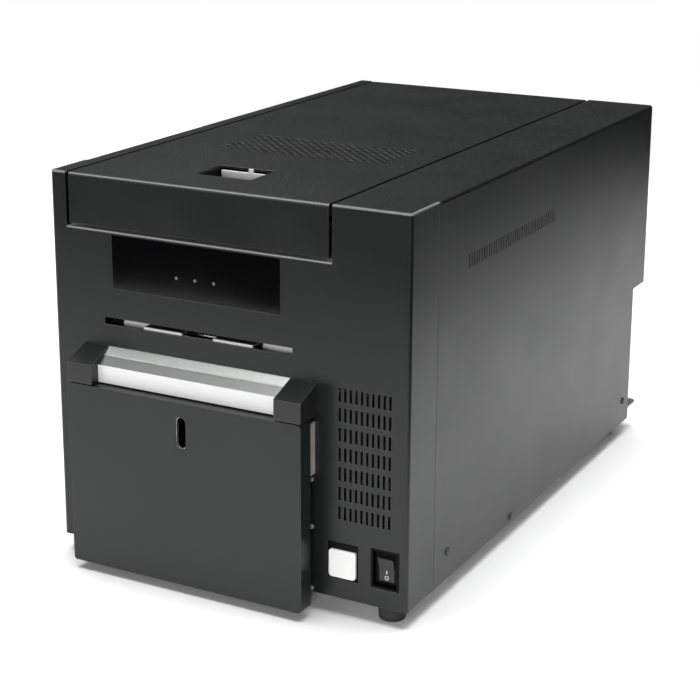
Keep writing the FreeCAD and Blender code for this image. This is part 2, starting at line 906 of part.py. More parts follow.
def rear_panel():
    """Stepped back plate: upper wall, underside of the overhang and lower wall in one sheet."""
    body = doc.addObject("PartDesign::Body", "rear_sheet")
    outline = sketch(body, "YZ_Plane")
    crest = "top - bend_radius"
    polygon(outline, (
        ("low_back", "shelf_top + fit"), ("low_back", "step"), ("back", "step"), ("back", crest),
        ("back - sheet", crest), ("back - sheet", "step + sheet"),
        ("low_back - sheet", "step + sheet"), ("low_back - sheet", "shelf_top + fit"),
    ))
    pad(body, outline, "2 * inside_half", middle=True)
    along = Vector(1, 0, 0)
    sheet_bend(body, along, (None, "back", "step"), (None, "back - sheet", "step + sheet"))
    sheet_bend(body, along, (None, "low_back - sheet", "step + sheet"), (None, "low_back", "step"))
    below_hinge = "hinge_z - knuckle_radius - air"
    mouth = span(across("lane", "lid_width + 2 * lid_gap"), ("back - sheet - overrun", "back + overrun"),
                 (below_hinge, "top"))
    wall = cut(body, mouth)
    knuckles = lid_knuckles(0, f"{below_hinge} - sheet", "hinge_z")
    inlet = span(across("inlet_x", "inlet_width + 2 * fit"),
                 ("low_back - sheet - overrun", "low_back + overrun"),
                 across("under + inlet_z", "inlet_height + 2 * fit"))
    openings = [inlet]
    for x, width, height in (("usb_x", "usb_width", "usb_height"),
                             ("network_x", "network_width", "network_height")):
        openings.append(span(across(x, f"{width} + 2 * fit"),
                             ("low_back - sheet - overrun", "low_back + overrun"),
                             across("under + socket_z", f"{height} + 2 * fit")))
    return node("rear_panel", cut(fuse(wall, *knuckles), lid_pin_bore(), fan_slots(), *openings))


def fan_slots():
    """Rows of slots in front of the fan, each as long as the fan's bore is wide there."""
    pitch = number("fan_ring_pitch")
    radius = number("fan_bore_radius")
    reach = int((radius - number("fan_slot")) / pitch)
    centre = vector("fan_x", "back", "fan_z")
    slots = []
    for row in range(-reach, reach + 1):
        length = 2 * math.sqrt(radius ** 2 - (abs(row) * pitch + number("fan_slot") / 2) ** 2)
        slot = block(length, number("2 * (sheet + overrun)"), number("fan_slot"))
        slots.append(slot.translated(centre + Vector(0, 0, row * pitch)))
    return feature(Part.makeCompound(slots), "0", "0", "0")


def rounded_box(axis, x, y, z, radius):
    """A box whose four edges along one axis are round."""
    limits = {"x": x, "y": y, "z": z}
    others = [name for name in "xyz" if name != axis]
    pieces = []
    for name in others:
        inner = dict(limits)
        low, high = limits[name]
        inner[name] = (f"{low} + {radius}", f"{high} - {radius}")
        pieces.append(span(inner["x"], inner["y"], inner["z"]))
    low, high = limits[axis]
    for first in (f"{limits[others[0]][0]} + {radius}", f"{limits[others[0]][1]} - {radius}"):
        for second in (f"{limits[others[1]][0]} + {radius}", f"{limits[others[1]][1]} - {radius}"):
            corner = {axis: low, others[0]: first, others[1]: second}
            pieces.append(rod(axis, radius, f"({high}) - ({low})",
                              corner["x"], corner["y"], corner["z"]))
    return fuse(*pieces)


# Lid
FINGER_X = ("finger_left - half", "finger_left + finger_width - half")
FINGER_Y = ("front + finger_front", "front + finger_front + finger_depth")
GRILLE_X = ("grille_left - half", "grille_left + grille_width - half")
GRILLE_Y = ("front + grille_front", "front + grille_front + grille_depth")


def grille_spots():
    """Staggered rows: one hole at each crossing of the grid and one in each square between."""
    pitch = number("grille_pitch")
    corner = vector(GRILLE_X[0], GRILLE_Y[0], "lid_under - overrun")
    columns = int(number("grille_width") / pitch + pitch / 1000)
    rows = int(number("grille_depth") / pitch + pitch / 1000)
    for shift, fewer in ((0, 0), (pitch / 2, 1)):
        for column in range(columns + 1 - fewer):
            for row in range(rows + 1 - fewer):
                yield corner + Vector(shift + column * pitch, shift + row * pitch, 0)


def lid_panel():
    """Steel lid with a deep front skirt, a finger opening, a grille and its hinge knuckles."""
    body = doc.addObject("PartDesign::Body", "lid_sheet")
    outline = sketch(body, "YZ_Plane", "lane")
    skirt_low = "top - skirt_drop"
    rear_low = "hinge_z + knuckle_radius + air"
    polygon(outline, (
        ("front", skirt_low), ("front", "top"), ("back", "top"), ("back", rear_low),
        ("back - sheet", rear_low), ("back - sheet", "lid_under"),
        ("front + sheet", "lid_under"), ("front + sheet", skirt_low),
    ))
    pad(body, outline, "lid_width", middle=True)
    along = Vector(1, 0, 0)
    sheet_bend(body, along, (None, "front", "top"), (None, "front + sheet", "lid_under"))
    sheet_bend(body, along, (None, "back", "top"), (None, "back - sheet", "lid_under"))
    flanges = []
    for side in (-1, 1):
        ends = (f"lane + {side} * lid_width / 2", f"lane + {side} * (lid_width / 2 - sheet)")
        flanges.append(span(ends[::-side], ("front + sheet", "back - 4 * knuckle_radius"),
                            ("top - lid_flange", "lid_under")))
    knuckles = lid_knuckles(1, "hinge_z", rear_low)
    finger = rounded_box("z", FINGER_X, FINGER_Y, ("lid_under - overrun", "top + overrun"),
                         "finger_corner")
    hole = Part.makeCylinder(number("grille_hole_radius"), number("sheet + 2 * overrun"))
    steel = fuse(body, *flanges, *knuckles)
    return node("lid_panel", cut(steel, finger, copies(hole, grille_spots()), lid_pin_bore()))


def lid_liner():
    """Moulded tray under the lid: a rim, a well below the finger opening and ears for the latch."""
    outer_x = ("lane - liner_half", "lane + liner_half")
    outer_y = ("front + sheet + liner_front", "back - liner_rear")
    low = "lid_under - liner_depth"
    tray = span(outer_x, outer_y, (low, "lid_under"))
    hollow = span((f"{outer_x[0]} + liner_wall", f"{outer_x[1]} - liner_wall"),
                  (f"{outer_y[0]} + liner_wall", f"{outer_y[1]} - liner_wall"),
                  (f"{low} - overrun", "lid_under - liner_wall"))
    well_low = "top - latch_well"
    well_x = (f"{FINGER_X[0]} - liner_wall", f"{FINGER_X[1]} + liner_wall")
    well = span(well_x, (f"{FINGER_Y[0]} - liner_wall", FINGER_Y[1]),
                (f"{well_low} - liner_wall", "lid_under - liner_wall"))
    well_hollow = span(FINGER_X, (FINGER_Y[0], f"{FINGER_Y[1]} + overrun"),
                       (well_low, "lid_under + overrun"))
    lever_room = span(across("finger_x", "latch_width + 2 * air"),
                      ("latch_y - latch_plate_thickness / 2 - air",
                       "latch_pivot_y + latch_boss_radius + latch_clear"),
                      (f"{well_low} - liner_wall - overrun", "lid_under + overrun"))
    grille_room = span(GRILLE_X, GRILLE_Y, (low, "lid_under + overrun"))
    ears = []
    for side in (-1, 1):
        ends = (f"finger_x + {side} * (latch_width / 2 + air)",
                f"finger_x + {side} * (latch_width / 2 + air + latch_ear)")
        ears.append(span(ends[::side], across("latch_pivot_y", "4 * latch_boss_radius"),
                         ("latch_pivot_z - latch_boss_radius", "lid_under - liner_wall")))
    bore = rod("x", "latch_pin_radius + running", "latch_width + 2 * air + 2 * latch_ear",
               "finger_x - latch_width / 2 - air - latch_ear", "latch_pivot_y", "latch_pivot_z")
    shell = cut(fuse(cut(tray, hollow), well), well_hollow, lever_room, grille_room)
    return node("lid_liner", cut(fuse(shell, *ears), bore))


def lid_latch():
    """White lever behind the finger opening; pulled forward, its foot swings off the strike bar."""
    wide = across("finger_x", "latch_width")
    thick = across("latch_y", "latch_plate_thickness")
    plate = span(wide, thick, ("top - latch_drop", "top - latch_top"))
    tab = span(across("finger_x + latch_tab", "latch_tab"), thick, ("top - latch_top", "top - air"))
    boss = rod("x", "latch_boss_radius", "latch_width", wide[0], "latch_pivot_y", "latch_pivot_z")
    web = span(wide, ("latch_y", "latch_pivot_y"), across("latch_pivot_z", "latch_boss_radius"))
    pins = rod("x", "latch_pin_radius", "latch_width + 2 * latch_ear",
               "finger_x - latch_width / 2 - latch_ear", "latch_pivot_y", "latch_pivot_z")
    nose = span(wide, ("latch_y - latch_plate_thickness / 2 - latch_nose", "latch_y"),
                ("top - latch_drop", "top - latch_drop + latch_nose"))
    return node("lid_latch", fuse(plate, tab, boss, web, pins, nose))


def head_tower():
    """Plate under the lid with the two guide rods that the print head slides on."""
    plate = span(across("lane", "2 * head_rod_offset + tower_depth"),
                 across("front + platen_y", "tower_depth"),
                 ("lid_under - liner_wall - tower_plate", "lid_under - liner_wall"))
    rod_low = "head_bottom + head_edge_drop + head_edge"
    rods = [rod("z", "head_rod_radius", f"lid_under - liner_wall - tower_plate - ({rod_low})",
                f"lane + {side} * head_rod_offset", "front + platen_y", rod_low)
            for side in (-1, 1)]
    return node("head_tower", fuse(plate, *rods))


def print_head():
    """Aluminium heat sink with the narrow print edge below and cooling fins on its front."""
    wide = across("lane", "head_width")
    block_low = "head_bottom + head_edge_drop"
    body = span(wide, across("front + platen_y", "head_depth"),
                (block_low, "head_bottom + head_height"))
    edge = span(wide, across("front + platen_y", "head_edge"), ("head_bottom", block_low))
    front_y = "front + platen_y - head_depth / 2"
    fin = block(number("fin_gap"), number("fin_gap"), number("fin_depth"))
    first = vector("lane - head_width / 2 + fin_pitch", front_y,
                   "head_bottom + head_height - fin_depth / 2")
    count = int(number("head_width") / number("fin_pitch")) - 1
    gaps = copies(fin, [first + Vector(index * number("fin_pitch"), 0, 0)
                        for index in range(count)])
    bores = [rod("z", "head_rod_radius + running", "head_height + 2 * overrun",
                 f"lane + {side} * head_rod_offset", "front + platen_y",
                 "head_bottom - overrun") for side in (-1, 1)]
    return node("print_head", cut(fuse(body, edge), gaps, *bores))


def lid_hinge_pin():
    return node("lid_hinge_pin", rod("x", "hinge_pin_radius", "hinge_length",
                                     "lane - hinge_length / 2", "hinge_y", "hinge_z"))


# Front of the case
def display_window():
    """Black window in the front panel, held from behind by its flange."""
    face = span(across("display_x", "display_width - 2 * fit"),
                ("front", "front + display_thickness"),
                ("display_top - display_height + fit", "display_top - fit"))
    flange = span(across("display_x", "display_width + 2 * display_flange"),
                  ("front + sheet", "front + sheet + display_flange_thickness"),
                  ("display_top - display_height - display_flange",
                   "notch_bottom - sheet - fit"))
    bores = [rod("y", "light_radius + running", "display_thickness + 2 * overrun",
                 x, "front - overrun", z) for x, z in light_places()]
    return node("display_window", cut(fuse(face, flange), *bores))


def light_places():
    for index in (-1, 0, 1):
        yield f"lane + {index} * light_pitch", "display_top - light_drop"


def status_lights():
    return node("status_lights", group(*(rod("y", "light_radius", "light_length", x, "front", z)
                                         for x, z in light_places())))


def button_bezel():
    """Frame and guide of the open button, with the channel that its latch slide runs in."""
    opening_z = across("button_opening_z", "button_opening_height - 2 * fit")
    face = span(across("button_x", "button_opening_width - 2 * fit"),
                ("front", "front + sheet"), opening_z)
    rear = "front + sheet + housing_depth"
    guide = span(across("button_x", "button_opening_width + 2 * housing_side"),
                 ("front + sheet", rear),
                 ("button_opening_z - button_opening_height / 2 - housing_side",
                  "slide_z + slide_height / 2 + housing_side"))
    button_room = span(across("button_x", "button_width + 2 * air"),
                       ("front - overrun", f"{rear} + overrun"),
                       across("button_z", "button_height + 2 * air"))
    slide_room = span(("-half", "half"),
                      ("front + slide_back - air", "front + slide_back + slide_depth + air"),
                      across("slide_z", "slide_height + 2 * air"))
    arm_room = span(("lug_x - air", "lug_x + slide_tail + button_travel + air"),
                    ("front + slide_back", f"{rear} + overrun"),
                    across("slide_z", "slide_height + 2 * air"))
    return node("button_bezel", cut(fuse(face, guide), button_room, slide_room, arm_room))


def open_button():
    """Push button whose stem ends in the wedge that drives the latch slide."""
    cap = rounded_box("y", across("button_x", "button_width"),
                      ("front - button_proud", "stem_y"),
                      across("button_z", "button_height"), "bend_radius")
    stem = doc.addObject("PartDesign::Body", "stem")
    outline = sketch(stem, "XY_Plane", "button_z")
    left, right = across("button_x", "stem_width")
    polygon(outline, ((left, "stem_y"), (right, "stem_y"), (right, "wedge_y"),
                      (f"{right} - wedge", "stem_end"), (left, "stem_end")))
    pad(stem, outline, "stem_height", middle=True)
    return node("open_button", fuse(cap, stem))


def latch_slide():
    """Slide with the nose that holds the door's strike, and the lug that the wedge pushes."""
    bar = span(("strike_right + slide_clear", "lug_x + slide_tail"),
               ("front + slide_back", "front + slide_back + slide_depth"),
               across("slide_z", "slide_height"))
    arm = span(("lug_x", "lug_x + slide_tail"), ("front + slide_back", "stem_end"),
               across("slide_z", "slide_height"))
    lug = doc.addObject("PartDesign::Body", "lug")
    outline = sketch(lug, "XY_Plane", "button_z - stem_height / 2")
    polygon(outline, (("lug_x", "wedge_y"), ("lug_x + slide_tail", "wedge_y"),
                      ("lug_x + slide_tail", "stem_end"), ("lug_x - wedge", "stem_end")))
    pad(lug, outline, "slide_z + slide_height / 2 - (button_z - stem_height / 2)")
    return node("latch_slide", fuse(bar, arm, lug))


def switch_body():
    """Recessed cup in the front panel with the rocker switch set in its floor."""
    front_y = "front"
    floor = "switch_face_y + switch_wall"
    outer_x = across("switch_x", "switch_opening_width - 2 * fit")
    outer_z = across("switch_z", "switch_opening_height - 2 * fit")
    cup = span(outer_x, (front_y, floor), outer_z)
    hollow = span((f"{outer_x[0]} + switch_wall", f"{outer_x[1]} - switch_wall"),
                  ("front - overrun", "switch_face_y"),
                  (f"{outer_z[0]} + switch_wall", f"{outer_z[1]} - switch_wall"))
    flange = span(across("switch_x", "switch_opening_width + 2 * switch_wall"),
                  ("front + sheet", "front + 2 * sheet"),
                  across("switch_z", "switch_opening_height + 2 * switch_wall"))
    frame = span(across("switch_x", "switch_face_width"),
                 ("switch_face_y - switch_face", "switch_face_y + switch_body_depth"),
                 across("switch_z", "switch_face_height"))
    room = span(across("switch_x", "rocker_width + 2 * air"),
                ("switch_face_y - switch_face - overrun", "switch_face_y + rocker_room"),
                across("switch_z", "rocker_height + 2 * switch_face"))
    bore = rod("x", "rocker_pin_radius + running", "rocker_width + 4 * rocker_pin_length",
               "switch_x - rocker_width / 2 - 2 * rocker_pin_length",
               "switch_face_y + rocker_pivot_back", "switch_z")
    cup_shell = cut(fuse(cup, flange), hollow)
    return node("switch_body", cut(fuse(cup_shell, frame), room, bore))


def power_rocker():
    """Rocker with a shallow hollow between its two ends, tipped to off."""
    body = doc.addObject("PartDesign::Body", "rocker")
    outline = sketch(body, "YZ_Plane")
    end_y = "-(rocker_pivot_back + switch_face + rocker_rise)"
    half_height = "rocker_height / 2"
    polygon(outline, (
        (end_y, f"-{half_height}"), ("-(rocker_pivot_back + switch_face)", "0"),
        (end_y, half_height), ("rocker_pin_radius", half_height),
        ("rocker_depth", f"{half_height} / 2"), ("rocker_depth", f"-{half_height} / 2"),
        ("rocker_pin_radius", f"-{half_height}"),
    ))
    pad(body, outline, "rocker_width", middle=True)
    pins = sketch(body, "YZ_Plane")
    circle(pins, "0", "0", "rocker_pin_radius")
    pad(body, pins, "rocker_width + 2 * rocker_pin_length", middle=True)
    tilt = Rotation(Vector(1, 0, 0), number("rocker_tilt"))
    place(body, "switch_x", "switch_face_y + rocker_pivot_back", "switch_z", tilt)
    return node("power_rocker", body)


def exit_guide():
    """White guide ribs just inside the card slot, on a bar behind the front panel."""
    low = "path - exit_height / 2"
    ribs = []
    for side in (-1, 1):
        ends = (f"lane + {side} * exit_guide_inner", f"lane + {side} * exit_guide_outer")
        ribs.append(span(ends[::side], ("front + sheet", "front + sheet + exit_guide_depth"),
                         (low, f"{low} + exit_guide_thickness")))
    bar = span(across("lane", "2 * exit_guide_outer"),
               ("front + sheet", "front + 2 * sheet"),
               (f"{low} - exit_guide_foot", low))
    return node("exit_guide", fuse(bar, *ribs))


def output_bar():
    """Hollow white ledge over the hopper door, with a groove between its two sloped faces."""
    body = doc.addObject("PartDesign::Body", "ledge")
    outline = sketch(body, "YZ_Plane", "door_x")
    face_y = "front - door_stand + ledge_recess"
    front_top = "ledge_low + ledge_front_rise"
    polygon(outline, ((face_y, "ledge_low"), (face_y, front_top),
                      ("front", "ledge_top"), ("front", "ledge_low")))
    pad(body, outline, "door_width - 2 * cap_width", middle=True)
    room = sketch(body, "YZ_Plane", "door_x")
    polygon(room, ((f"{face_y} + ledge_wall", "ledge_low + ledge_wall"),
                   (f"{face_y} + ledge_wall", f"{front_top} - ledge_wall"),
                   ("front - ledge_wall", "ledge_top - 2 * ledge_wall"),
                   ("front - ledge_wall", "ledge_low + ledge_wall")))
    pocket(body, room, "door_width", middle=True)
    groove_z = f"{front_top} + (ledge_top - ({front_top})) * (1 - ledge_groove_y / (door_stand - ledge_recess))"
    groove = rod("x", "ledge_groove", "door_width", "door_x - door_width / 2",
                 "front - ledge_groove_y", groove_z)
    return node("output_bar", cut(body, groove))


def end_caps():
    """Dark sloped blocks at both ends of the ledge."""
    caps = []
    for side in (-1, 1):
        body = doc.addObject("PartDesign::Body", "cap")
        outline = sketch(body, "YZ_Plane", f"door_x + {side} * (door_width - cap_width) / 2")
        polygon(outline, (("door_front", "ledge_low"),
                          ("door_front", "ledge_low + cap_front_height"),
                          ("front", "ledge_top"), ("front", "ledge_low")))
        pad(body, outline, "cap_width", middle=True)
        caps.append(body)
    return node("end_caps", group(*caps))


# Hopper door
DOOR_X = ("door_x - door_width / 2", "door_x + door_width / 2")
DOOR_Z = ("door_bottom", "door_upper")


def door_slot(y):
    """Upright slot through which the height of the card stack shows."""
    low = "door_upper - door_slot_below - door_slot_height + door_slot_width / 2"
    high = "door_upper - door_slot_below - door_slot_width / 2"
    depth = f"({y[1]}) - ({y[0]})"
    ends = [rod("y", "door_slot_width / 2", depth, "door_x", y[0], z) for z in (low, high)]
    return fuse(span(across("door_x", "door_slot_width"), y, (low, high)), *ends)


def door_knuckles(first, web_x, web_y):
    pieces = []
    for index in range(first, int(number("door_knuckle_count")), 2):
        start = f"door_hinge_low + {index} * (door_knuckle + knuckle_gap)"
        ends = (start, f"{start} + door_knuckle")
        pieces.append(rod("z", "knuckle_radius", "door_knuckle",
                          "door_hinge_x", "door_hinge_y", start))
        pieces.append(span(web_x, web_y, ends))
    return pieces


def door_pin_bore():
    return rod("z", "hinge_pin_radius + running", "door_top", "door_hinge_x", "door_hinge_y",
               "under")


def hopper_door():
    """Steel door with returned edges, its hinge leaves rolled from the left return."""
    outer = rounded_box("y", DOOR_X, ("door_front", "door_front + door_depth"), DOOR_Z,
                        "door_corner")
    inner = span((f"{DOOR_X[0]} + sheet", f"{DOOR_X[1]} - sheet"),
                 ("door_front + sheet", "door_front + door_depth + overrun"),
                 (f"{DOOR_Z[0]} + sheet", f"{DOOR_Z[1]} - sheet"))
    leaves = door_knuckles(1, (DOOR_X[0], f"{DOOR_X[0]} + sheet"),
                           ("door_front + door_depth - sheet", "door_hinge_y"))
    slot = door_slot(("door_front - overrun", "door_front + sheet + overrun"))
    return node("hopper_door", cut(fuse(cut(outer, inner), *leaves), slot, door_pin_bore()))


def door_liner():
    """Moulded plate inside the door, which stiffens it and carries the strike."""
    rear = "door_front + sheet + door_liner_thickness"
    plate = span((f"{DOOR_X[0]} + sheet + fit", f"{DOOR_X[1]} - sheet - fit"),
                 ("door_front + sheet", rear),
                 (f"{DOOR_Z[0]} + sheet + fit", f"{DOOR_Z[1]} - sheet - fit"))
    slot = door_slot(("door_front + sheet - overrun", f"{rear} + overrun"))
    return node("door_liner", cut(plate, slot))


def door_strike():
    """Steel tongue on the door that the latch slide holds by its notch."""
    start = "door_front + sheet + door_liner_thickness"
    plate = span(("strike_right - strike_width", "strike_right"),
                 (start, "front + strike_reach"), across("slide_z", "strike_height"))
    foot = span(("strike_right - 4 * strike_width", "strike_right"),
                (start, f"{start} + strike_width"), across("slide_z", "strike_height"))
    notch = span(("strike_right - strike_width / 2", "strike_right + overrun"),
                 ("front + slide_back - air", "front + slide_back + slide_depth + air"),
                 across("slide_z", "strike_notch"))
    return node("door_strike", cut(fuse(plate, foot), notch))


def hopper_frame():
    """Moulded rim that stands out round the hopper mouth, for the door to close over."""
    outer = span(across("door_x", "mouth_width + 2 * mouth_rim"), ("front - mouth_stand", "front"),
                 ("under + mouth_bottom - mouth_rim", "under + mouth_top + mouth_rim"))
    inner = span(across("door_x", "mouth_width"), ("front - mouth_stand - overrun", "front + overrun"),
                 ("under + mouth_bottom", "under + mouth_top"))
    return node("hopper_frame", cut(outer, inner))


def latch_plate():
    """Bright angle beside the hopper mouth, behind the door's free edge."""
    right = f"{DOOR_X[1]} - sheet - air"
    height = ("door_upper - keeper_leg / 2 - keeper_drop", "door_upper - keeper_leg / 2")
    leg = span((f"{right} - sheet", right), ("front - mouth_stand", "front"), height)
    foot = span((f"{right} - keeper_leg", right), ("front - sheet", "front"), height)
    return node("latch_plate", fuse(leg, foot))


def door_hinge_bracket():
    """Hinge leaf on the front panel with every other knuckle of the door hinge."""
    leaf = span(("door_hinge_x - knuckle_radius", "door_hinge_x + knuckle_radius"),
                ("front - door_leaf", "front"),
                ("door_hinge_low", "door_hinge_low + door_hinge_length"))
    knuckles = door_knuckles(0, across("door_hinge_x", "2 * hinge_pin_radius + sheet"),
                             ("door_hinge_y", "front - door_leaf / 2"))
    return node("door_hinge_bracket", cut(fuse(leaf, *knuckles), door_pin_bore()))


def door_hinge_pin():
    return node("door_hinge_pin", rod("z", "hinge_pin_radius", "door_hinge_length",
                                      "door_hinge_x", "door_hinge_y", "door_hinge_low"))


# Mechanism frame
SHAFTS = (
    ("exit_y", "exit_roller_z"), ("exit_y", "pinch_z"), ("platen_y", "platen_z"),
    ("feed_y", "feed_z"), ("pick_y", "pick_z"),
)
HUBS = ("takeup_y", "supply_y")


def frame_plate(name, side):
    """Steel side plate with an outward foot, bored for the bushes."""
    inner = f"lane + {side} * bay_width / 2"
    outer = f"lane + {side} * (bay_width / 2 + frame_thickness)"
    foot = f"lane + {side} * (bay_width / 2 + frame_foot)"
    deep = ("front + frame_front", "front + frame_front + frame_length")
    wall = span((inner, outer)[::side], deep, ("frame_bottom", "frame_top"))
    base = span((inner, foot)[::side], deep, ("frame_bottom", "frame_bottom + frame_thickness"))
    low_x = (inner, outer)[::side][0]
    tools = [rod("x", "bush_radius", "frame_thickness + 2 * overrun", f"{low_x} - overrun",
                 f"front + {y}", z) for y, z in SHAFTS]
    for y in HUBS:
        if side > 0:
            tools.append(rod("x", "bush_radius", "frame_thickness + 2 * overrun",
                             f"{low_x} - overrun", f"front + {y}", "hub_z"))
            continue
        tools.append(rod("x", "seat_radius", "frame_thickness + 2 * overrun",
                         f"{low_x} - overrun", f"front + {y}", "hub_z"))
        tools.append(span((f"{low_x} - overrun", f"{low_x} + frame_thickness + overrun"),
                          across(f"front + {y}", "2 * seat_radius"),
                          ("hub_z", "frame_top + overrun")))
    return node(name, cut(fuse(wall, base), *tools))


def cross_bars():
    """Round bars between the frame plates; the front one is the strike of the lid latch."""
    bars = [rod("x", "bar_radius", "bay_width", "frame_left",
                "latch_y - latch_plate_thickness / 2 - latch_nose - latch_clear - bar_radius",
                "top - latch_drop + latch_nose + bar_radius + air")]
    for along_share, up_share in CROSS_BAR_SHARES:
        bars.append(rod("x", "bar_radius", "bay_width", "frame_left",
                        f"front + frame_front + {along_share} * frame_length",
                        f"frame_bottom + {up_share} * (frame_top - frame_bottom)"))
    return node("cross_bars", group(*bars))


def roller_bushes():
    bushes = []
    stand = "(bush_length - frame_thickness) / 2"
    left = f"frame_left - frame_thickness - {stand}"
    right = f"frame_right - {stand}"
    spots = [(x, f"front + {y}", z) for y, z in SHAFTS for x in (left, right)]
    spots += [(right, f"front + {y}", "hub_z") for y in HUBS]
    for x, y, z in spots:
        ring = rod("x", "bush_radius", "bush_length", x, y, z)
        bore = rod("x", "shaft_radius + running", "bush_length + 2 * overrun",
                   f"{x} - overrun", y, z)
        bushes.append(cut(ring, bore))
    return node("roller_bushes", group(*bushes))


def card_guide():
    """Guide plates between the rollers, and the ramp that brings cards up from the hopper."""
    top_z = "path - card / 2 - guide_clear"
    wide = ("frame_left", "frame_right")
    stops = (
        ("front + exit_y + exit_roller_radius + guide_clear",
         "front + platen_y - platen_radius - guide_clear"),
        ("front + platen_y + platen_radius + guide_clear",
         "front + feed_y - feed_roller_radius - guide_clear"),
        ("front + feed_y + feed_roller_radius + guide_clear", "front + tray_rear"),
    )
    plates = [span(wide, stop, (f"{top_z} - guide_thickness", top_z)) for stop in stops]
    ramp = doc.addObject("PartDesign::Body", "ramp")
    outline = sketch(ramp, "YZ_Plane", "lane")
    start = "front + hopper_front + hopper_depth + hopper_wall + guide_clear"
    low = "under + hopper_top - 2 * guide_thickness"
    high = f"{top_z} - 3 * guide_thickness"
    polygon(outline, ((start, low), (start, f"{low} + guide_thickness"),
                      ("front + ramp_rear", high), ("front + ramp_rear", f"{high} - guide_thickness")))
    pad(ramp, outline, "bay_width", middle=True)
    return node("card_guide", group(ramp, *plates))


def card_hopper():
    """Open-fronted box for the stack of blank cards, slotted behind for the lifter."""
    x = across("lane", "hopper_inner")
    y = ("front + hopper_front", "front + hopper_front + hopper_depth")
    outer = span((f"{x[0]} - hopper_wall", f"{x[1]} + hopper_wall"), (y[0], f"{y[1]} + hopper_wall"),
                 ("frame_bottom", "under + hopper_top"))
    inner = span(x, (f"{y[0]} - overrun", y[1]),
                 ("frame_bottom + hopper_wall", "under + hopper_top + overrun"))
    slot = span(across("lane", "lifter_tongue + 2 * lifter_slot_gap"),
                (f"{y[1]} - overrun", f"{y[1]} + hopper_wall + overrun"),
                ("frame_bottom + hopper_wall", "under + hopper_top - 2 * hopper_wall"))
    return node("card_hopper", cut(outer, inner, slot))


def lifter_plate():
    """Plate that raises the card stack, with a tongue through the slot behind it."""
    x = across("lane", "hopper_inner - 2 * lifter_side_gap")
    y = ("front + hopper_front", "front + hopper_front + hopper_depth - lifter_side_gap")
    z = ("frame_bottom + hopper_wall + air", "frame_bottom + hopper_wall + air + lifter_thickness")
    plate = span(x, y, z)
    tongue = span(across("lane", "lifter_tongue"), (y[1], f"{y[1]} + 4 * hopper_wall"), z)
    notch = span(across("door_x", "lifter_notch"),
                 (f"{y[0]} - overrun", f"{y[0]} + lifter_notch / 2"),
                 (f"{z[0]} - overrun", f"{z[1]} + overrun"))
    return node("lifter_plate", cut(fuse(plate, tongue), notch))


# Rollers, each turning about its own X axis
def shaft(name, y, z, right, pulleys):
    """Steel shaft in its two bushes, with the belt pulleys turned on it."""
    left = "frame_left - frame_thickness - pulley_start"
    pieces = [rod("x", "shaft_radius", f"({right}) - ({left})", left, f"front + {y}", z)]
    pieces += [rod("x", "pulley_radius", "pulley_width", x, f"front + {y}", z) for x in pulleys]
    return node(name, fuse(*pieces))


def sleeve(radius, width, middle, y, z):
    start = f"{middle} - {width} / 2"
    tube = rod("x", radius, width, start, f"front + {y}", z)
    bore = rod("x", "shaft_radius", f"{width} + 2 * overrun", f"{start} - overrun",
               f"front + {y}", z)
    return cut(tube, bore)


def tyres(name, radius, width, offset, y, z):
    return node(name, group(*(sleeve(radius, width, f"lane + {side} * {offset}", y, z)
                              for side in (-1, 1))))


def pinch_roller():
    """Idle roller above the exit roller, with its two soft tyres."""
    left = "frame_left - frame_thickness - pulley_start"
    core = rod("x", "shaft_radius", f"frame_right + frame_thickness + pulley_start - ({left})",
               left, "front + exit_y", "pinch_z")
    pads = [rod("x", "exit_roller_radius", "exit_tyre_width",
                f"lane + {side} * exit_tyre_offset - exit_tyre_width / 2",
                "front + exit_y", "pinch_z") for side in (-1, 1)]
    return node("pinch_roller", fuse(core, *pads))


def rollers():
    drive_end = "drive_x + pulley_width"
    second_end = "second_x + pulley_width"
    shaft("exit_shaft", "exit_y", "exit_roller_z", second_end, ("drive_x", "second_x"))
    tyres("exit_tyres", "exit_roller_radius", "exit_tyre_width", "exit_tyre_offset",
          "exit_y", "exit_roller_z")
    pinch_roller()
    shaft("platen_shaft", "platen_y", "platen_z", "gear_x + gear_width + pulley_gap",
          ("drive_x", "second_x"))
    node("platen_sleeve", sleeve("platen_radius", "platen_width", "lane", "platen_y", "platen_z"))
    shaft("feed_shaft", "feed_y", "feed_z", second_end, ("second_x",))
    tyres("feed_tyres", "feed_roller_radius", "tyre_width", "tyre_offset", "feed_y", "feed_z")
    shaft("pick_shaft", "pick_y", "pick_z", second_end, ("second_x",))
    tyres("pick_tyres", "pick_roller_radius", "tyre_width", "tyre_offset", "pick_y", "pick_z")


def belt(x, first, second):
    """Flat loop round two equal pulleys."""
    def loop(radius):
        start = Vector(0, *first)
        end = Vector(0, *second)
        along = (end - start).normalize()
        up = Vector(0, -along.z, along.y) * radius
        ahead = along * radius
        edges = [
            Part.LineSegment(start + up, end + up).toShape(),
            Part.Arc(end + up, end + ahead, end - up).toShape(),
            Part.LineSegment(end - up, start - up).toShape(),
            Part.Arc(start - up, start - ahead, start + up).toShape(),
        ]
        return Part.Face(Part.Wire(edges)).extrude(Vector(number("belt_width"), 0, 0))

    inner = number("pulley_radius + running")
    shape = loop(inner + number("belt")).cut(loop(inner))
    return feature(shape, f"{x} + (pulley_width - belt_width) / 2", "0", "0")


def drive_belts():
    """Toothless view of the timing belts: exit to platen, platen to feed, exit to pick."""
    spots = {name: (number(f"front + {name}_y"), number(height)) for name, height in
             (("exit", "exit_roller_z"), ("platen", "platen_z"), ("feed", "feed_z"),
              ("pick", "pick_z"))}
    return node("drive_belts", group(
        belt("drive_x", spots["exit"], spots["platen"]),
        belt("second_x", spots["platen"], spots["feed"]),
        belt("second_x", spots["pick"], spots["exit"]),
    ))


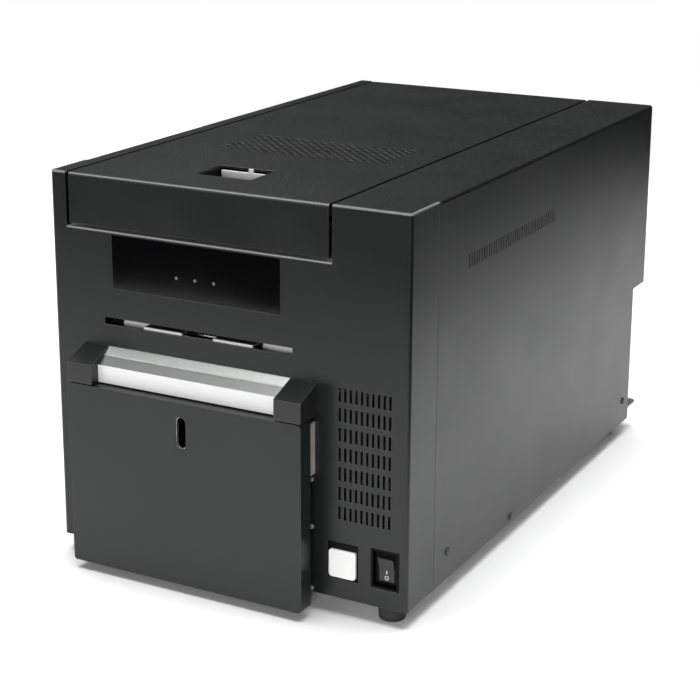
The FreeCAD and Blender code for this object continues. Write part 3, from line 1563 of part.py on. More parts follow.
# Drive
def platen_gear():
    teeth = int(number("gear_teeth"))
    wheel = gear_shape(teeth, number("gear_width"), 0)
    bore = Part.makeCylinder(number("shaft_radius"), number("gear_width + 2 * overrun"),
                             Vector(-number("overrun"), 0, 0), Vector(1, 0, 0))
    return node("platen_gear", feature(wheel.cut(bore), "gear_x", "front + platen_y", "platen_z"))


def motor_pinion():
    """Pinion below the platen gear, turned with its motor shaft; a gap faces the gear's tooth."""
    teeth = int(number("pinion_teeth"))
    facing = math.pi / 2
    gear_step = 2 * math.pi / int(number("gear_teeth"))
    offset = ((-math.pi / 2) / gear_step) % 1
    phase = facing + (0.5 - offset) * 2 * math.pi / teeth * -1
    wheel = gear_shape(teeth, number("pinion_width"), phase)
    stub = Part.makeCylinder(number("motor_shaft_radius"),
                             number("bracket_x + bracket_thickness + motor_boss - gear_x"),
                             Vector(0, 0, 0), Vector(1, 0, 0))
    return node("motor_pinion", feature(wheel.fuse(stub), "gear_x", "motor_y", "motor_z"))


def motor_bracket():
    """Angle bracket on the pan that carries the feed motor."""
    wall = span(("bracket_x", "bracket_x + bracket_thickness"),
                across("motor_y", "bracket_width"),
                ("frame_bottom", "motor_z + motor_size / 2 + bracket_thickness"))
    foot = span(("bracket_x", "bracket_x + motor_length"), across("motor_y", "bracket_width"),
                ("frame_bottom", "frame_bottom + bracket_thickness"))
    bore = rod("x", "motor_boss_radius + fit", "bracket_thickness + 2 * overrun",
               "bracket_x - overrun", "motor_y", "motor_z")
    return node("motor_bracket", cut(fuse(wall, foot), bore))


def feed_motor():
    """Square stepping motor with its centring boss through the bracket."""
    start = "bracket_x + bracket_thickness"
    can = span((start, f"{start} + motor_length"), across("motor_y", "motor_size"),
               across("motor_z", "motor_size"))
    boss = rod("x", "motor_boss_radius", "motor_boss", f"{start} - motor_boss", "motor_y", "motor_z")
    bore = rod("x", "motor_shaft_radius + running", "motor_length / 2",
               f"{start} - motor_boss - overrun", "motor_y", "motor_z")
    return node("feed_motor", cut(fuse(can, boss), bore))


def ribbon_motor():
    """Round motor on the right frame plate that turns the take-up hub."""
    start = "frame_right + frame_thickness"
    can = rod("x", "ribbon_motor_radius", "ribbon_motor_length", start, "front + takeup_y", "hub_z")
    bush_room = rod("x", "bush_radius + fit", "bush_length / 2", start, "front + takeup_y", "hub_z")
    bore = rod("x", "shaft_radius + running", "ribbon_motor_length - sheet", start,
               "front + takeup_y", "hub_z")
    return node("ribbon_motor", cut(can, bush_room, bore))


def ribbon_hub(name, y, reach):
    """Ribbed hub inside the right frame plate, on a shaft through the plate's bush."""
    end = "frame_right - (bush_length - frame_thickness) / 2 - hub_gap"
    start = f"{end} - hub_length"
    core = rod("x", "hub_radius - hub_rib", "hub_length", start, f"front + {y}", "hub_z")
    flange = rod("x", "hub_flange_radius", "hub_flange", f"{end} - hub_flange", f"front + {y}", "hub_z")
    spindle = rod("x", "shaft_radius", f"frame_right + {reach} - ({end})", end, f"front + {y}",
                  "hub_z")
    ribs = [span((start, end), across(f"front + {y}", "2 * hub_radius"),
                 across("hub_z", "hub_rib")),
            span((start, end), across(f"front + {y}", "hub_rib"),
                 across("hub_z", "2 * hub_radius"))]
    return node(name, fuse(core, flange, spindle, *ribs))


# Electronics
def power_supply():
    """Hollow sheet steel box with slots across its top and a row of terminals in front."""
    x = ("inside_half - sheet - fit - supply_box_width", "inside_half - sheet - fit")
    y = ("front + supply_box_y", "front + supply_box_y + supply_box_depth")
    z = ("frame_bottom", "frame_bottom + supply_box_height")
    case = span(x, y, z)
    terminals = span((f"{x[0]} + supply_box_width / 5", f"{x[1]} - supply_box_width / 5"),
                     (f"{y[0]} - chip", y[0]), (f"{z[0]}", f"{z[0]} + chip"))
    room = span((f"{x[0]} + sheet", f"{x[1]} - sheet"), (f"{y[0]} + sheet", f"{y[1]} - sheet"),
                (f"{z[0]} + sheet", f"{z[1]} - sheet"))
    slot = block(number("supply_box_width / 2"), number("fan_slot"), number("3 * sheet"))
    middle = vector(f"({x[0]} + {x[1]}) / 2", y[0], z[1])
    count = int(number("supply_box_depth / (3 * fan_slot)")) - 1
    slots = copies(slot, [middle + Vector(0, (index + 1) * 3 * number("fan_slot"), 0)
                          for index in range(count)])
    return node("power_supply", cut(fuse(case, terminals), room, slots))


def main_board():
    """Circuit board on stand-offs from the right side panel, with its larger parts."""
    wall = "half - sheet"
    x = (f"{wall} - board_stand - board_thickness", f"{wall} - board_stand")
    y = ("front + board_y", "front + board_y + board_length")
    z = ("board_z", "board_z + board_height")
    pieces = [span(x, y, z)]
    for stand_y in (f"{y[0]} + chip / 2", f"{y[1]} - chip / 2"):
        for stand_z in (f"{z[0]} + chip / 2", f"{z[1]} - chip / 2"):
            pieces.append(rod("x", "stand_radius", "board_stand", x[1], stand_y, stand_z))
    chip_x = (f"{x[0]} - chip_height", x[0])
    for along_share, up_share in ((0.3, 0.5), (0.62, 0.35), (0.62, 0.7)):
        pieces.append(span(chip_x, across(f"{y[0]} + {along_share} * board_length", "chip"),
                           across(f"{z[0]} + {up_share} * board_height", "chip")))
    for along_share in (0.82, 0.9):
        pieces.append(rod("x", "capacitor_radius", "capacitor_height", f"{x[0]} - capacitor_height",
                          f"{y[0]} + {along_share} * board_length",
                          f"{z[0]} + board_height / 2"))
    return node("main_board", fuse(*pieces))


def fan_frame():
    """Square fan housing behind the rear slots, with a spider that holds the hub's pin."""
    case = span(across("fan_x", "fan_size"), ("fan_y", "fan_y + fan_depth"),
                across("fan_z", "fan_size"))
    bore = rod("y", "fan_bore_radius", "fan_depth + 2 * overrun", "fan_x", "fan_y - overrun", "fan_z")
    hub = rod("y", "fan_hub_radius", "fan_spider", "fan_x", "fan_y", "fan_z")
    arms = [span(across("fan_x", "2 * fan_bore_radius + fan_spider"),
                 ("fan_y", "fan_y + fan_spider"), across("fan_z", "fan_spider_width")),
            span(across("fan_x", "fan_spider_width"), ("fan_y", "fan_y + fan_spider"),
                 across("fan_z", "2 * fan_bore_radius + fan_spider"))]
    pin = rod("y", "fan_pin_radius", "fan_depth / 2", "fan_x", "fan_y + fan_spider", "fan_z")
    return node("fan_frame", fuse(cut(case, bore), hub, pin, *arms))


def fan_rotor():
    """Hub and pitched blades, turning on the pin of the fan housing."""
    start = "fan_y + fan_spider + air"
    depth = number("fan_depth - fan_spider - 2 * air")
    tip = number("fan_bore_radius - fan_blade_tip")
    root = number("fan_hub_radius")
    hub = Part.makeCylinder(root, depth, Vector(), Vector(0, 1, 0))
    blade = block(tip - root + number("fan_blade_tip"), number("fan_blade_thickness"), depth)
    blade.rotate(Vector(), Vector(1, 0, 0), 45)
    blade.translate(Vector((tip + root) / 2, depth / 2, 0))
    count = int(number("fan_blade_count"))
    blades = []
    for index in range(count):
        turned = blade.copy()
        turned.rotate(Vector(), Vector(0, 1, 0), index * 360 / count)
        blades.append(turned)
    envelope = Part.makeCylinder(tip, depth, Vector(), Vector(0, 1, 0))
    bore = Part.makeCylinder(number("fan_pin_radius + running"),
                             number("fan_depth / 2 + overrun"), Vector(0, -number("air"), 0),
                             Vector(0, 1, 0))
    shape = hub.multiFuse(blades).common(envelope).cut(bore).removeSplitter()
    return node("fan_rotor", feature(shape, "fan_x", start, "fan_z"))


def mains_inlet():
    """Three-pin appliance inlet with its flange outside the lower rear wall."""
    x = across("inlet_x", "inlet_width")
    z = across("under + inlet_z", "inlet_height")
    outside = "low_back + inlet_flange_thickness"
    body = span(x, (f"{outside} - inlet_depth", outside), z)
    flange = span((f"{x[0]} - inlet_flange", f"{x[1]} + inlet_flange"), ("low_back", outside),
                  (f"{z[0]} - inlet_flange", f"{z[1]} + inlet_flange"))
    well = span((f"{x[0]} + inlet_blade", f"{x[1]} - inlet_blade"),
                (f"{outside} - inlet_well", f"{outside} + overrun"),
                (f"{z[0]} + inlet_blade", f"{z[1]} - inlet_blade"))
    blades = []
    for across_share, up_share in ((-0.25, -0.1), (0.25, -0.1), (0, 0.15)):
        blades.append(span(
            across(f"inlet_x + {across_share} * inlet_width", "inlet_blade"),
            (f"{outside} - inlet_well", f"{outside} - 2 * inlet_blade"),
            across(f"under + inlet_z + {up_share} * inlet_height", "2 * inlet_blade")))
    return node("mains_inlet", fuse(cut(fuse(body, flange), well), *blades))


def data_sockets():
    """Two data sockets flush with the lower rear wall, on a backing plate."""
    sockets = []
    for x, width, height in (("usb_x", "usb_width", "usb_height"),
                             ("network_x", "network_width", "network_height")):
        wide = across(x, width)
        tall = across("under + socket_z", height)
        shell = span(wide, ("low_back - socket_depth", "low_back"), tall)
        flange = span((f"{wide[0]} - inlet_flange", f"{wide[1]} + inlet_flange"),
                      ("low_back - 2 * sheet", "low_back - sheet"),
                      (f"{tall[0]} - inlet_flange", f"{tall[1]} + inlet_flange"))
        well = span((f"{wide[0]} + socket_wall", f"{wide[1]} - socket_wall"),
                    ("low_back - socket_well", "low_back + overrun"),
                    (f"{tall[0]} + socket_wall", f"{tall[1]} - socket_wall"))
        sockets.append(cut(fuse(shell, flange), well))
    return node("data_sockets", group(*sockets))


def build():
    base_pan()
    rubber_feet()
    case_screws()
    front_panel()
    side_panel("left_side_panel", -1, "left_strip")
    side_panel("right_side_panel", 1, "right_strip")
    rear_panel()
    lid_panel()
    lid_liner()
    lid_latch()
    head_tower()
    print_head()
    lid_hinge_pin()
    display_window()
    status_lights()
    button_bezel()
    open_button()
    latch_slide()
    switch_body()
    power_rocker()
    exit_guide()
    output_bar()
    end_caps()
    hopper_door()
    door_liner()
    door_strike()
    hopper_frame()
    latch_plate()
    door_hinge_bracket()
    door_hinge_pin()
    frame_plate("left_frame_plate", -1)
    frame_plate("right_frame_plate", 1)
    cross_bars()
    roller_bushes()
    card_guide()
    card_hopper()
    lifter_plate()
    rollers()
    drive_belts()
    platen_gear()
    motor_pinion()
    motor_bracket()
    feed_motor()
    ribbon_motor()
    ribbon_hub("takeup_hub", "takeup_y", "ribbon_motor_length / 2")
    ribbon_hub("supply_hub", "supply_y", "frame_thickness + pulley_start")
    power_supply()
    main_board()
    fan_frame()
    fan_rotor()
    mains_inlet()
    data_sockets()


def check_and_write():
    doc.recompute()
    failed = [item.Label for item in doc.Objects if {"Invalid", "Error"} & set(item.State)]
    if failed:
        raise ValueError("these objects failed: " + ", ".join(failed))
    for item in nodes:
        if item.Shape.isNull() or not item.Shape.isValid():
            raise ValueError(item.Label + " has no valid shape")
    os.makedirs("parts", exist_ok=True)
    for item in nodes:
        item.Shape.exportStep(f"parts/{item.Label}.step")
        print(item.Label, len(item.Shape.Solids), "solids", round(item.Shape.Volume), "mm3")


build()
check_and_write()
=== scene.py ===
# %% [markdown]
# # A desktop card printer, dressed for its picture
#
# The printer is a box of bent sheet steel with a hinged lid on top and a hinged door in front.
# Its measured solids come ready made, and stay as they are. This lesson gives each of them a
# finish, replaces a few small pieces by finer ones, and then lights and frames the whole.

# %% Load the measured solids
import json
import math

import bmesh
import bpy
from mathutils import Matrix, Vector


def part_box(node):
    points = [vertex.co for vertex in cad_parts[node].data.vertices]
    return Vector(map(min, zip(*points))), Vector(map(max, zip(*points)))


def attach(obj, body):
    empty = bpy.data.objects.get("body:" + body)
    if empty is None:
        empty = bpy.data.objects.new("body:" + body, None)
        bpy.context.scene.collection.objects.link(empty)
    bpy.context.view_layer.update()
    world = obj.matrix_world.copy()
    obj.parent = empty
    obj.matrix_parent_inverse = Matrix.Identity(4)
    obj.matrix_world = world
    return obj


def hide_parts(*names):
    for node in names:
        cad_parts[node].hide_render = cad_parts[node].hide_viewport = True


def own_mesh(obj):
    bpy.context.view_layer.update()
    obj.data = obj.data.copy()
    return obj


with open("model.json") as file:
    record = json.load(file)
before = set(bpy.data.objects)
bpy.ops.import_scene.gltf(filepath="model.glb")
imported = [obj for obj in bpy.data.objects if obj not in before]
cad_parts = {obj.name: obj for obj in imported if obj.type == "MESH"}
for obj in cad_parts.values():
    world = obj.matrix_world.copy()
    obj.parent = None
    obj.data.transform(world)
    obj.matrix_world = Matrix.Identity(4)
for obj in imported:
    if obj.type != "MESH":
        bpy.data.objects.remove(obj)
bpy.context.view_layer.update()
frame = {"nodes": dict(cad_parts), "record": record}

# %% [markdown]
# ## A millimetre
#
# Blender measures in metres, and a maker of printers in millimetres. One small helper turns a
# place in millimetres into a place in the scene, so that the numbers below read like a drawing.
# Three places come back often, so they get names: the plane of the front plate, the middle of
# the hopper door, and the middle of the card path.

# %% Millimetres and three places that come back
MM = 0.001
FRONT_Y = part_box("front_panel")[0].y / MM
DOOR_X = sum(corner.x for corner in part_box("hopper_door")) / 2 / MM
LANE_X = sum(corner.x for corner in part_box("platen_sleeve")) / 2 / MM


def mm(x, y, z):
    return Vector((x, y, z)) * MM


print("front plate", round(FRONT_Y, 1), "door", round(DOOR_X, 2), "card path", round(LANE_X, 2))

# %% [markdown]
# ## Camera
#
# The picture was taken from the front, 28 degrees round to the right and 15 degrees above the
# table, with a long lens from a little over a metre. A long lens keeps the box from looking
# wedge-shaped. The lens is shifted down a little, as on an architect's camera, which keeps the
# upright edges of the case nearly upright in the frame.

# %% The camera
camera_data = bpy.data.cameras.new("studio_camera")
camera_data.sensor_width = 36
camera_data.lens = 89.62
camera_data.shift_y = -0.1
camera_data.clip_start = 0.05
camera = bpy.data.objects.new("studio_camera", camera_data)
bpy.context.scene.collection.objects.link(camera)
bpy.context.scene.camera = camera


def look(azimuth, elevation, roll):
    """The turn of a camera that looks along an azimuth and down by an elevation, in degrees."""
    a, e, r = (math.radians(angle) for angle in (azimuth, elevation, roll))
    ahead = Vector((-math.sin(a) * math.cos(e), math.cos(a) * math.cos(e), -math.sin(e)))
    right = ahead.cross(Vector((0, 0, 1))).normalized()
    up = right.cross(ahead)
    right, up = (math.cos(r) * right + math.sin(r) * up, math.cos(r) * up - math.sin(r) * right)
    return Matrix((right, up, -ahead)).transposed()


camera.matrix_world = (Matrix.Translation((0.5909, -1.1479, 0.5237))
                       @ look(28.03, 15.398, 0.255).to_4x4())
print("camera looks along", [round(v, 3) for v in -camera.matrix_world.to_3x3().col[2]])

# %% [markdown]
# ## Studio light
#
# A dark box on white paper is lit mostly by the paper. The floor is bright enough to burn out
# to pure white, and its reflection makes the lower part of the front and the whole right side
# lighter than the charcoal paint itself. So a soft sun lamp shines down on the floor, and the room
# above stays dimmer, which keeps the top of the case dark. Five soft lamps add to it: one over the
# paper at the right, two behind the case for the top of the lid, and two in front. The camera sees
# plain white wherever it looks past the floor.

# %% The room, seen white by the camera and dimmer by the paint
bpy.context.scene.view_settings.view_transform = "Standard"
room = bpy.data.worlds.new("white_room")
bpy.context.scene.world = room
room.use_nodes = True
room_tree = room.node_tree
room_tree.nodes.clear()


def add(tree, kind, links=None, **settings):
    """Adds a shader node; links gives each input a value or the output that feeds it."""
    made = tree.nodes.new("ShaderNode" + kind)
    for key, value in settings.items():
        setattr(made, key, value)
    for socket, source in (links or {}).items():
        if isinstance(source, bpy.types.NodeSocket):
            tree.links.new(source, made.inputs[socket])
        else:
            made.inputs[socket].default_value = source
    return made


direction = add(room_tree, "TexCoord")
height = add(room_tree, "SeparateXYZ", {0: direction.outputs["Generated"]})
rising = add(room_tree, "MapRange", {"Value": height.outputs["Z"],
                                     "From Min": -1.0, "From Max": 1.0})
dimness = add(room_tree, "ValToRGB", {0: rising.outputs[0]})
ramp = dimness.color_ramp
ramp.elements[0].position, ramp.elements[0].color = 0.48, (0.015, 0.015, 0.016, 1)
ramp.elements[1].position, ramp.elements[1].color = 0.96, (0.42, 0.42, 0.43, 1)
for position, grey in ((0.56, 0.02), (0.74, 0.04), (0.88, 0.16)):
    ramp.elements.new(position).color = (grey, grey, grey * 1.02, 1)
seen = add(room_tree, "LightPath")
paint_sees = add(room_tree, "Background", {"Color": dimness.outputs["Color"], "Strength": 1.0})
camera_sees = add(room_tree, "Background", {"Color": (1, 1, 1, 1), "Strength": 1.0})
choice = add(room_tree, "MixShader", {0: seen.outputs["Is Camera Ray"],
                                      1: paint_sees.outputs[0], 2: camera_sees.outputs[0]})
add(room_tree, "OutputWorld", {"Surface": choice.outputs[0]})
print("room made with", len(room_tree.nodes), "nodes")


# %% The lamps
LID_FRONT = (0, -0.1, 0.28)


def soft_lamp(name, place, aim, width, depth, power):
    lamp = bpy.data.lights.new(name, "AREA")
    lamp.shape = "RECTANGLE"
    lamp.size, lamp.size_y, lamp.energy = width, depth, power
    holder = bpy.data.objects.new(name, lamp)
    bpy.context.scene.collection.objects.link(holder)
    holder.location = place
    holder.rotation_euler = (Vector(aim) - Vector(place)).to_track_quat("-Z", "Y").to_euler()
    holder.visible_camera = False


soft_lamp("roof_light", (0.6, 0.2, 1.5), (0.6, 0.2, 0), 1.2, 1.2, 5)
soft_lamp("back_light", (-1.0, 0.15, 1.7), LID_FRONT, 1.2, 0.7, 1.8)
soft_lamp("rear_light", (-0.95, 1.13, 1.36), LID_FRONT, 0.35, 0.35, 0.8)
soft_lamp("fill_light", (0.9, -2.3, 0.6), (0, 0, 0.15), 0.5, 0.5, 22)
soft_lamp("front_light", (-0.75, -1.7, 0.75), (0, 0, 0.12), 0.9, 0.9, 5)
sky_data = bpy.data.lights.new("sky_light", "SUN")
sky_data.energy, sky_data.angle = 3.7, math.radians(46)
sky_light = bpy.data.objects.new("sky_light", sky_data)
bpy.context.scene.collection.objects.link(sky_light)
sky_light.rotation_euler = Vector((0.03, -0.02, -1)).to_track_quat("-Z", "Y").to_euler()

# %% [markdown]
# ## The nodes that the finishes share
#
# Paint, moulded plastic and metal differ in colour and gloss, but share six effects: a fine
# grain, a slow drift of tone, edges that catch the light, dust on level faces, a grain that is
# coarser on level faces, and the lines that a rolling mill or a lathe leaves. Each is a node
# group, built once, with its values as inputs, so that one finish can have a coarse grain and the
# next a fine one.


# %% A tool that makes an empty group with named sockets
def make_group(name, inputs, outputs):
    group = bpy.data.node_groups.new(name, "ShaderNodeTree")
    for label, kind, value in inputs:
        socket = group.interface.new_socket(name=label, in_out="INPUT", socket_type=kind)
        socket.default_value = value
    for label, kind in outputs:
        group.interface.new_socket(name=label, in_out="OUTPUT", socket_type=kind)
    return (group, group.nodes.new("NodeGroupInput").outputs,
            group.nodes.new("NodeGroupOutput").inputs)


NUMBER, COLOUR, VECTOR = "NodeSocketFloat", "NodeSocketColor", "NodeSocketVector"

# %% [markdown]
# ### Grain
#
# Textured powder coat melts into small round hills, like orange peel, with finer roughness on
# them. Smooth Voronoi cells give the hills and a noise gives the fine part. Only a height comes
# out: each material decides with its own Bump node how deep that height is.

# %% Group: grain
grain_group, given, result = make_group(
    "coat_grain", [("Scale", NUMBER, 500.0), ("Hills", NUMBER, 0.5)], [("Height", NUMBER)])
where = add(grain_group, "TexCoord")
hills = add(grain_group, "TexVoronoi", {"Vector": where.outputs["Object"], "Scale": given["Scale"],
                                        "Smoothness": 0.6}, feature="SMOOTH_F1")
double = add(grain_group, "Math", {0: given["Scale"], 1: 2.3}, operation="MULTIPLY")
crumbs = add(grain_group, "TexNoise", {"Vector": where.outputs["Object"],
                                       "Scale": double.outputs[0], "Detail": 2.0,
                                       "Roughness": 0.6})
mixed = add(grain_group, "Mix", {"Factor": given["Hills"], "A": crumbs.outputs[0],
                                 "B": hills.outputs["Distance"]}, data_type="FLOAT")
grain_group.links.new(mixed.outputs[0], result["Height"])
print("made group", grain_group.name)

# %% [markdown]
# ### Drift of tone
#
# No large painted face is one exact colour. A slow noise, a few centimetres across, makes the
# given colour a little lighter here and darker there. Its plain value also comes out, because
# the same drift can change the gloss.

# %% Group: drift of tone
drift_group, given, result = make_group(
    "tone_drift", [("Colour", COLOUR, (0.5, 0.5, 0.5, 1)), ("Spread", NUMBER, 0.1),
                   ("Scale", NUMBER, 18.0)], [("Colour", COLOUR), ("Value", NUMBER)])
where = add(drift_group, "TexCoord")
cloud = add(drift_group, "TexNoise", {"Vector": where.outputs["Object"], "Scale": given["Scale"],
                                      "Detail": 4.0, "Roughness": 0.55})
low = add(drift_group, "Math", {0: 1.0, 1: given["Spread"]}, operation="SUBTRACT")
high = add(drift_group, "Math", {0: 1.0, 1: given["Spread"]}, operation="ADD")
spread = add(drift_group, "MapRange", {"Value": cloud.outputs[0], "From Min": 0.3, "From Max": 0.7,
                                       "To Min": low.outputs[0], "To Max": high.outputs[0]})
tinted = add(drift_group, "VectorMath", {0: given["Colour"], "Scale": spread.outputs[0]},
             operation="SCALE")
drift_group.links.new(tinted.outputs[0], result["Colour"])
drift_group.links.new(cloud.outputs[0], result["Value"])
print("made group", drift_group.name)

# %% [markdown]
# ### Edges
#
# A real edge is never perfectly sharp, and its small round catches a line of light. The Bevel
# node finds a softened normal near each edge of the solid. The group gives that normal, for
# the Bump node, and a mask of how far it turned away from the flat face. That mask takes paler
# paint, partly wear and partly a painted highlight along the edge. A second mask, the crest, is
# for the edges that look half up and half forward. In the picture they catch the most light. The
# render doesn't show that by itself, so the palest paint stands in as a painted highlight.

# %% Group: edges
edge_group, given, result = make_group(
    "soft_edge", [("Radius", NUMBER, 0.0004)],
    [("Mask", NUMBER), ("Crest", NUMBER), ("Normal", VECTOR)])
rounded = add(edge_group, "Bevel", {"Radius": given["Radius"]}, samples=4)
flat = add(edge_group, "NewGeometry")
turned = add(edge_group, "VectorMath", {0: rounded.outputs[0], 1: flat.outputs["Normal"]},
             operation="DOT_PRODUCT")
mask = add(edge_group, "MapRange", {"Value": turned.outputs["Value"], "From Min": 0.995,
                                    "From Max": 0.9, "To Min": 0.0, "To Max": 1.0})
edge_group.links.new(mask.outputs[0], result["Mask"])
leaning = add(edge_group, "SeparateXYZ", {0: rounded.outputs[0]})
forward = add(edge_group, "Math", {0: leaning.outputs["Y"], 1: leaning.outputs["Z"]},
              operation="MULTIPLY")
crest = add(edge_group, "MapRange", {"Value": forward.outputs[0], "From Min": -0.4,
                                     "From Max": -0.49, "To Min": 0.0, "To Max": 1.0})
upward = add(edge_group, "Math", {0: leaning.outputs["Z"], 1: 0.0}, operation="GREATER_THAN")
pale = add(edge_group, "Math", {0: crest.outputs[0], 1: upward.outputs[0]}, operation="MULTIPLY")
edge_group.links.new(pale.outputs[0], result["Crest"])
edge_group.links.new(rounded.outputs[0], result["Normal"])
print("made group", edge_group.name)

# %% [markdown]
# ### Dust
#
# Dust settles where a face looks up. The group compares the face's normal with straight up,
# breaks the result with a fine noise, and gives a mask. It is used very thinly here, because the
# machine in the picture looks new.

# %% Group: dust
dust_group, given, result = make_group(
    "settled_dust", [("Amount", NUMBER, 0.1)], [("Mask", NUMBER)])
flat = add(dust_group, "NewGeometry")
axes = add(dust_group, "SeparateXYZ", {0: flat.outputs["Normal"]})
level = add(dust_group, "MapRange", {"Value": axes.outputs["Z"], "From Min": 0.6, "From Max": 1.0})
where = add(dust_group, "TexCoord")
specks = add(dust_group, "TexNoise", {"Vector": where.outputs["Object"], "Scale": 240.0,
                                      "Detail": 5.0, "Roughness": 0.7})
thin = add(dust_group, "MapRange", {"Value": specks.outputs[0], "From Min": 0.45, "From Max": 0.8})
both = add(dust_group, "Math", {0: level.outputs[0], 1: thin.outputs[0]}, operation="MULTIPLY")
some = add(dust_group, "Math", {0: both.outputs[0], 1: given["Amount"]}, operation="MULTIPLY")
dust_group.links.new(some.outputs[0], result["Mask"])
print("made group", dust_group.name)

# %% [markdown]
# ### Level faces
#
# In the picture the grain of the case is coarser on its level faces than on its walls. This group
# gives a factor that is 1 on a wall and grows to the given value on a face that looks up. The
# height of the grain is multiplied by it. A plain mask of the same faces also comes out, for the
# pale tips of the coarse grain, a painted highlight where light glints on the grain of a top.

# %% Group: level faces
level_group, given, result = make_group(
    "level_faces", [("Gain", NUMBER, 1.0)], [("Factor", NUMBER), ("Mask", NUMBER)])
flat = add(level_group, "NewGeometry")
axes = add(level_group, "SeparateXYZ", {0: flat.outputs["Normal"]})
coarser = add(level_group, "MapRange", {"Value": axes.outputs["Z"], "From Min": 0.5,
                                        "From Max": 0.95, "To Min": 1.0, "To Max": given["Gain"]})
level_group.links.new(coarser.outputs[0], result["Factor"])
upward = add(level_group, "MapRange", {"Value": axes.outputs["Z"], "From Min": 0.5,
                                       "From Max": 0.95})
level_group.links.new(upward.outputs[0], result["Mask"])
print("made group", level_group.name)

# %% [markdown]
# ### Drawn lines
#
# Rolled sheet and ground shafts carry fine parallel lines. A noise that is squeezed across one
# direction and stretched along another looks just like them. The stretch is an input, so that
# the lines can run along the sheet or round the shaft.

# %% Group: drawn lines
line_group, given, result = make_group(
    "drawn_lines", [("Stretch", VECTOR, (1.0, 1.0, 1.0)), ("Scale", NUMBER, 900.0)],
    [("Value", NUMBER)])
where = add(line_group, "TexCoord")
pulled = add(line_group, "VectorMath", {0: where.outputs["Object"], 1: given["Stretch"]},
             operation="MULTIPLY")
strokes = add(line_group, "TexNoise", {"Vector": pulled.outputs[0], "Scale": given["Scale"],
                                       "Detail": 3.0, "Roughness": 0.6})
line_group.links.new(strokes.outputs[0], result["Value"])
print("made group", line_group.name)


# %% [markdown]
# ## One recipe for a finish
#
# Every finish is mixed in the same order: the colour with its drift, then pale grain tips on level
# faces as a painted highlight, then any pattern, then paler edges, which are partly wear and partly
# painted highlights, then dust, and at last the surface relief. Values that are the same all over
# go straight into the shader. Only what changes over the surface comes through nodes.

# %% The recipe
GRAIN_TIP_HIGHLIGHT = (0.022, 0.0235, 0.023)
DUST_GREY = (0.42, 0.41, 0.39)


def place_group(tree, group, **values):
    made = tree.nodes.new("ShaderNodeGroup")
    made.node_tree = group
    for label, value in values.items():
        made.inputs[label].default_value = value
    return made


def mix_colour(tree, factor, first, second):
    made = add(tree, "Mix", {"Factor": factor}, data_type="RGBA")
    for index, source in ((6, first), (7, second)):
        if isinstance(source, bpy.types.NodeSocket):
            tree.links.new(source, made.inputs[index])
        else:
            made.inputs[index].default_value = (*source, 1)
    return made.outputs[2]


def finish(name, colour, rough, metal=0.0, drift=0.1, grain=500.0, hills=0.5, depth=0.02,
           edge=0.4, edge_wear_and_highlight=None, dust=0.0, lines=None, gloss_drift=0.05, pattern=None, ior=1.5,
           level=1.0, crest=None):
    """Colours are linear, depth and edge millimetres, lines a stretch; level coarsens tops."""
    material = bpy.data.materials.new(name)
    material.use_nodes = True
    tree = material.node_tree
    shader = tree.nodes["Principled BSDF"]
    shader.inputs["Metallic"].default_value = metal
    shader.inputs["IOR"].default_value = ior
    tone = place_group(tree, drift_group, Colour=(*colour, 1), Spread=drift)
    paint = tone.outputs["Colour"]
    peel = place_group(tree, grain_group, Scale=grain, Hills=hills)
    relief = peel.outputs["Height"]
    if level > 1:
        gain = place_group(tree, level_group, Gain=level)
        # Pale tips of the grain on level faces: a painted highlight for light glinting on the grain.
        tips = add(tree, "MapRange", {"Value": relief, "From Min": 0.42, "From Max": 0.56})
        lit_fleck = add(tree, "Math", {0: tips.outputs[0], 1: gain.outputs["Mask"]},
                    operation="MULTIPLY")
        paint = mix_colour(tree, lit_fleck.outputs[0], paint, GRAIN_TIP_HIGHLIGHT)
    if pattern:
        paint = pattern(tree, paint)
    edges = place_group(tree, edge_group, Radius=edge * MM)
    # Paler paint on every edge: partly wear, partly a painted highlight where the round of the edge
    # would catch light.
    if edge_wear_and_highlight:
        paint = mix_colour(tree, edges.outputs["Mask"], paint, edge_wear_and_highlight)
    # The crest colour is a painted highlight on edges that look up and forward.
    if crest:
        paint = mix_colour(tree, edges.outputs["Crest"], paint, crest)
    if dust:
        film = place_group(tree, dust_group, Amount=dust)
        paint = mix_colour(tree, film.outputs["Mask"], paint, DUST_GREY)
    tree.links.new(paint, shader.inputs["Base Color"])
    if lines:
        drawn = place_group(tree, line_group, Stretch=lines)
        relief = add(tree, "Mix", {"Factor": 0.65, "A": relief, "B": drawn.outputs["Value"]},
                     data_type="FLOAT").outputs[0]
    if level > 1:
        relief = add(tree, "Math", {0: relief, 1: gain.outputs["Factor"]},
                     operation="MULTIPLY").outputs[0]
    gloss = add(tree, "MapRange", {"Value": relief if lines else tone.outputs["Value"],
                                   "From Min": 0.3, "From Max": 0.7,
                                   "To Min": rough - gloss_drift, "To Max": rough + gloss_drift})
    tree.links.new(gloss.outputs[0], shader.inputs["Roughness"])
    bump = add(tree, "Bump", {"Strength": 1.0, "Distance": depth * MM, "Height": relief,
                              "Normal": edges.outputs["Normal"]})
    tree.links.new(bump.outputs[0], shader.inputs["Normal"])
    return material


# %% [markdown]
# ## Powder coat on the case
#
# The case is painted charcoal with a breath of green, in a textured powder coat. The hills of
# the texture are about two millimetres apart, with finer crumbs among them. They show as a grain
# on the top, where they are deepest, and nearly vanish on the front. The door is a smoother satin
# coat of nearly the same colour.
#
# In the picture a pale line of light runs along the upper edge of the front plate and along the
# front end of the bend between side and top. The render doesn't show it by itself, so two
# patterns paint it on as a painted highlight. A third paints the walls of the holes in the lid
# black, as painted shade, and their rims pale, as a painted highlight. Each compares places with a
# line of the case.

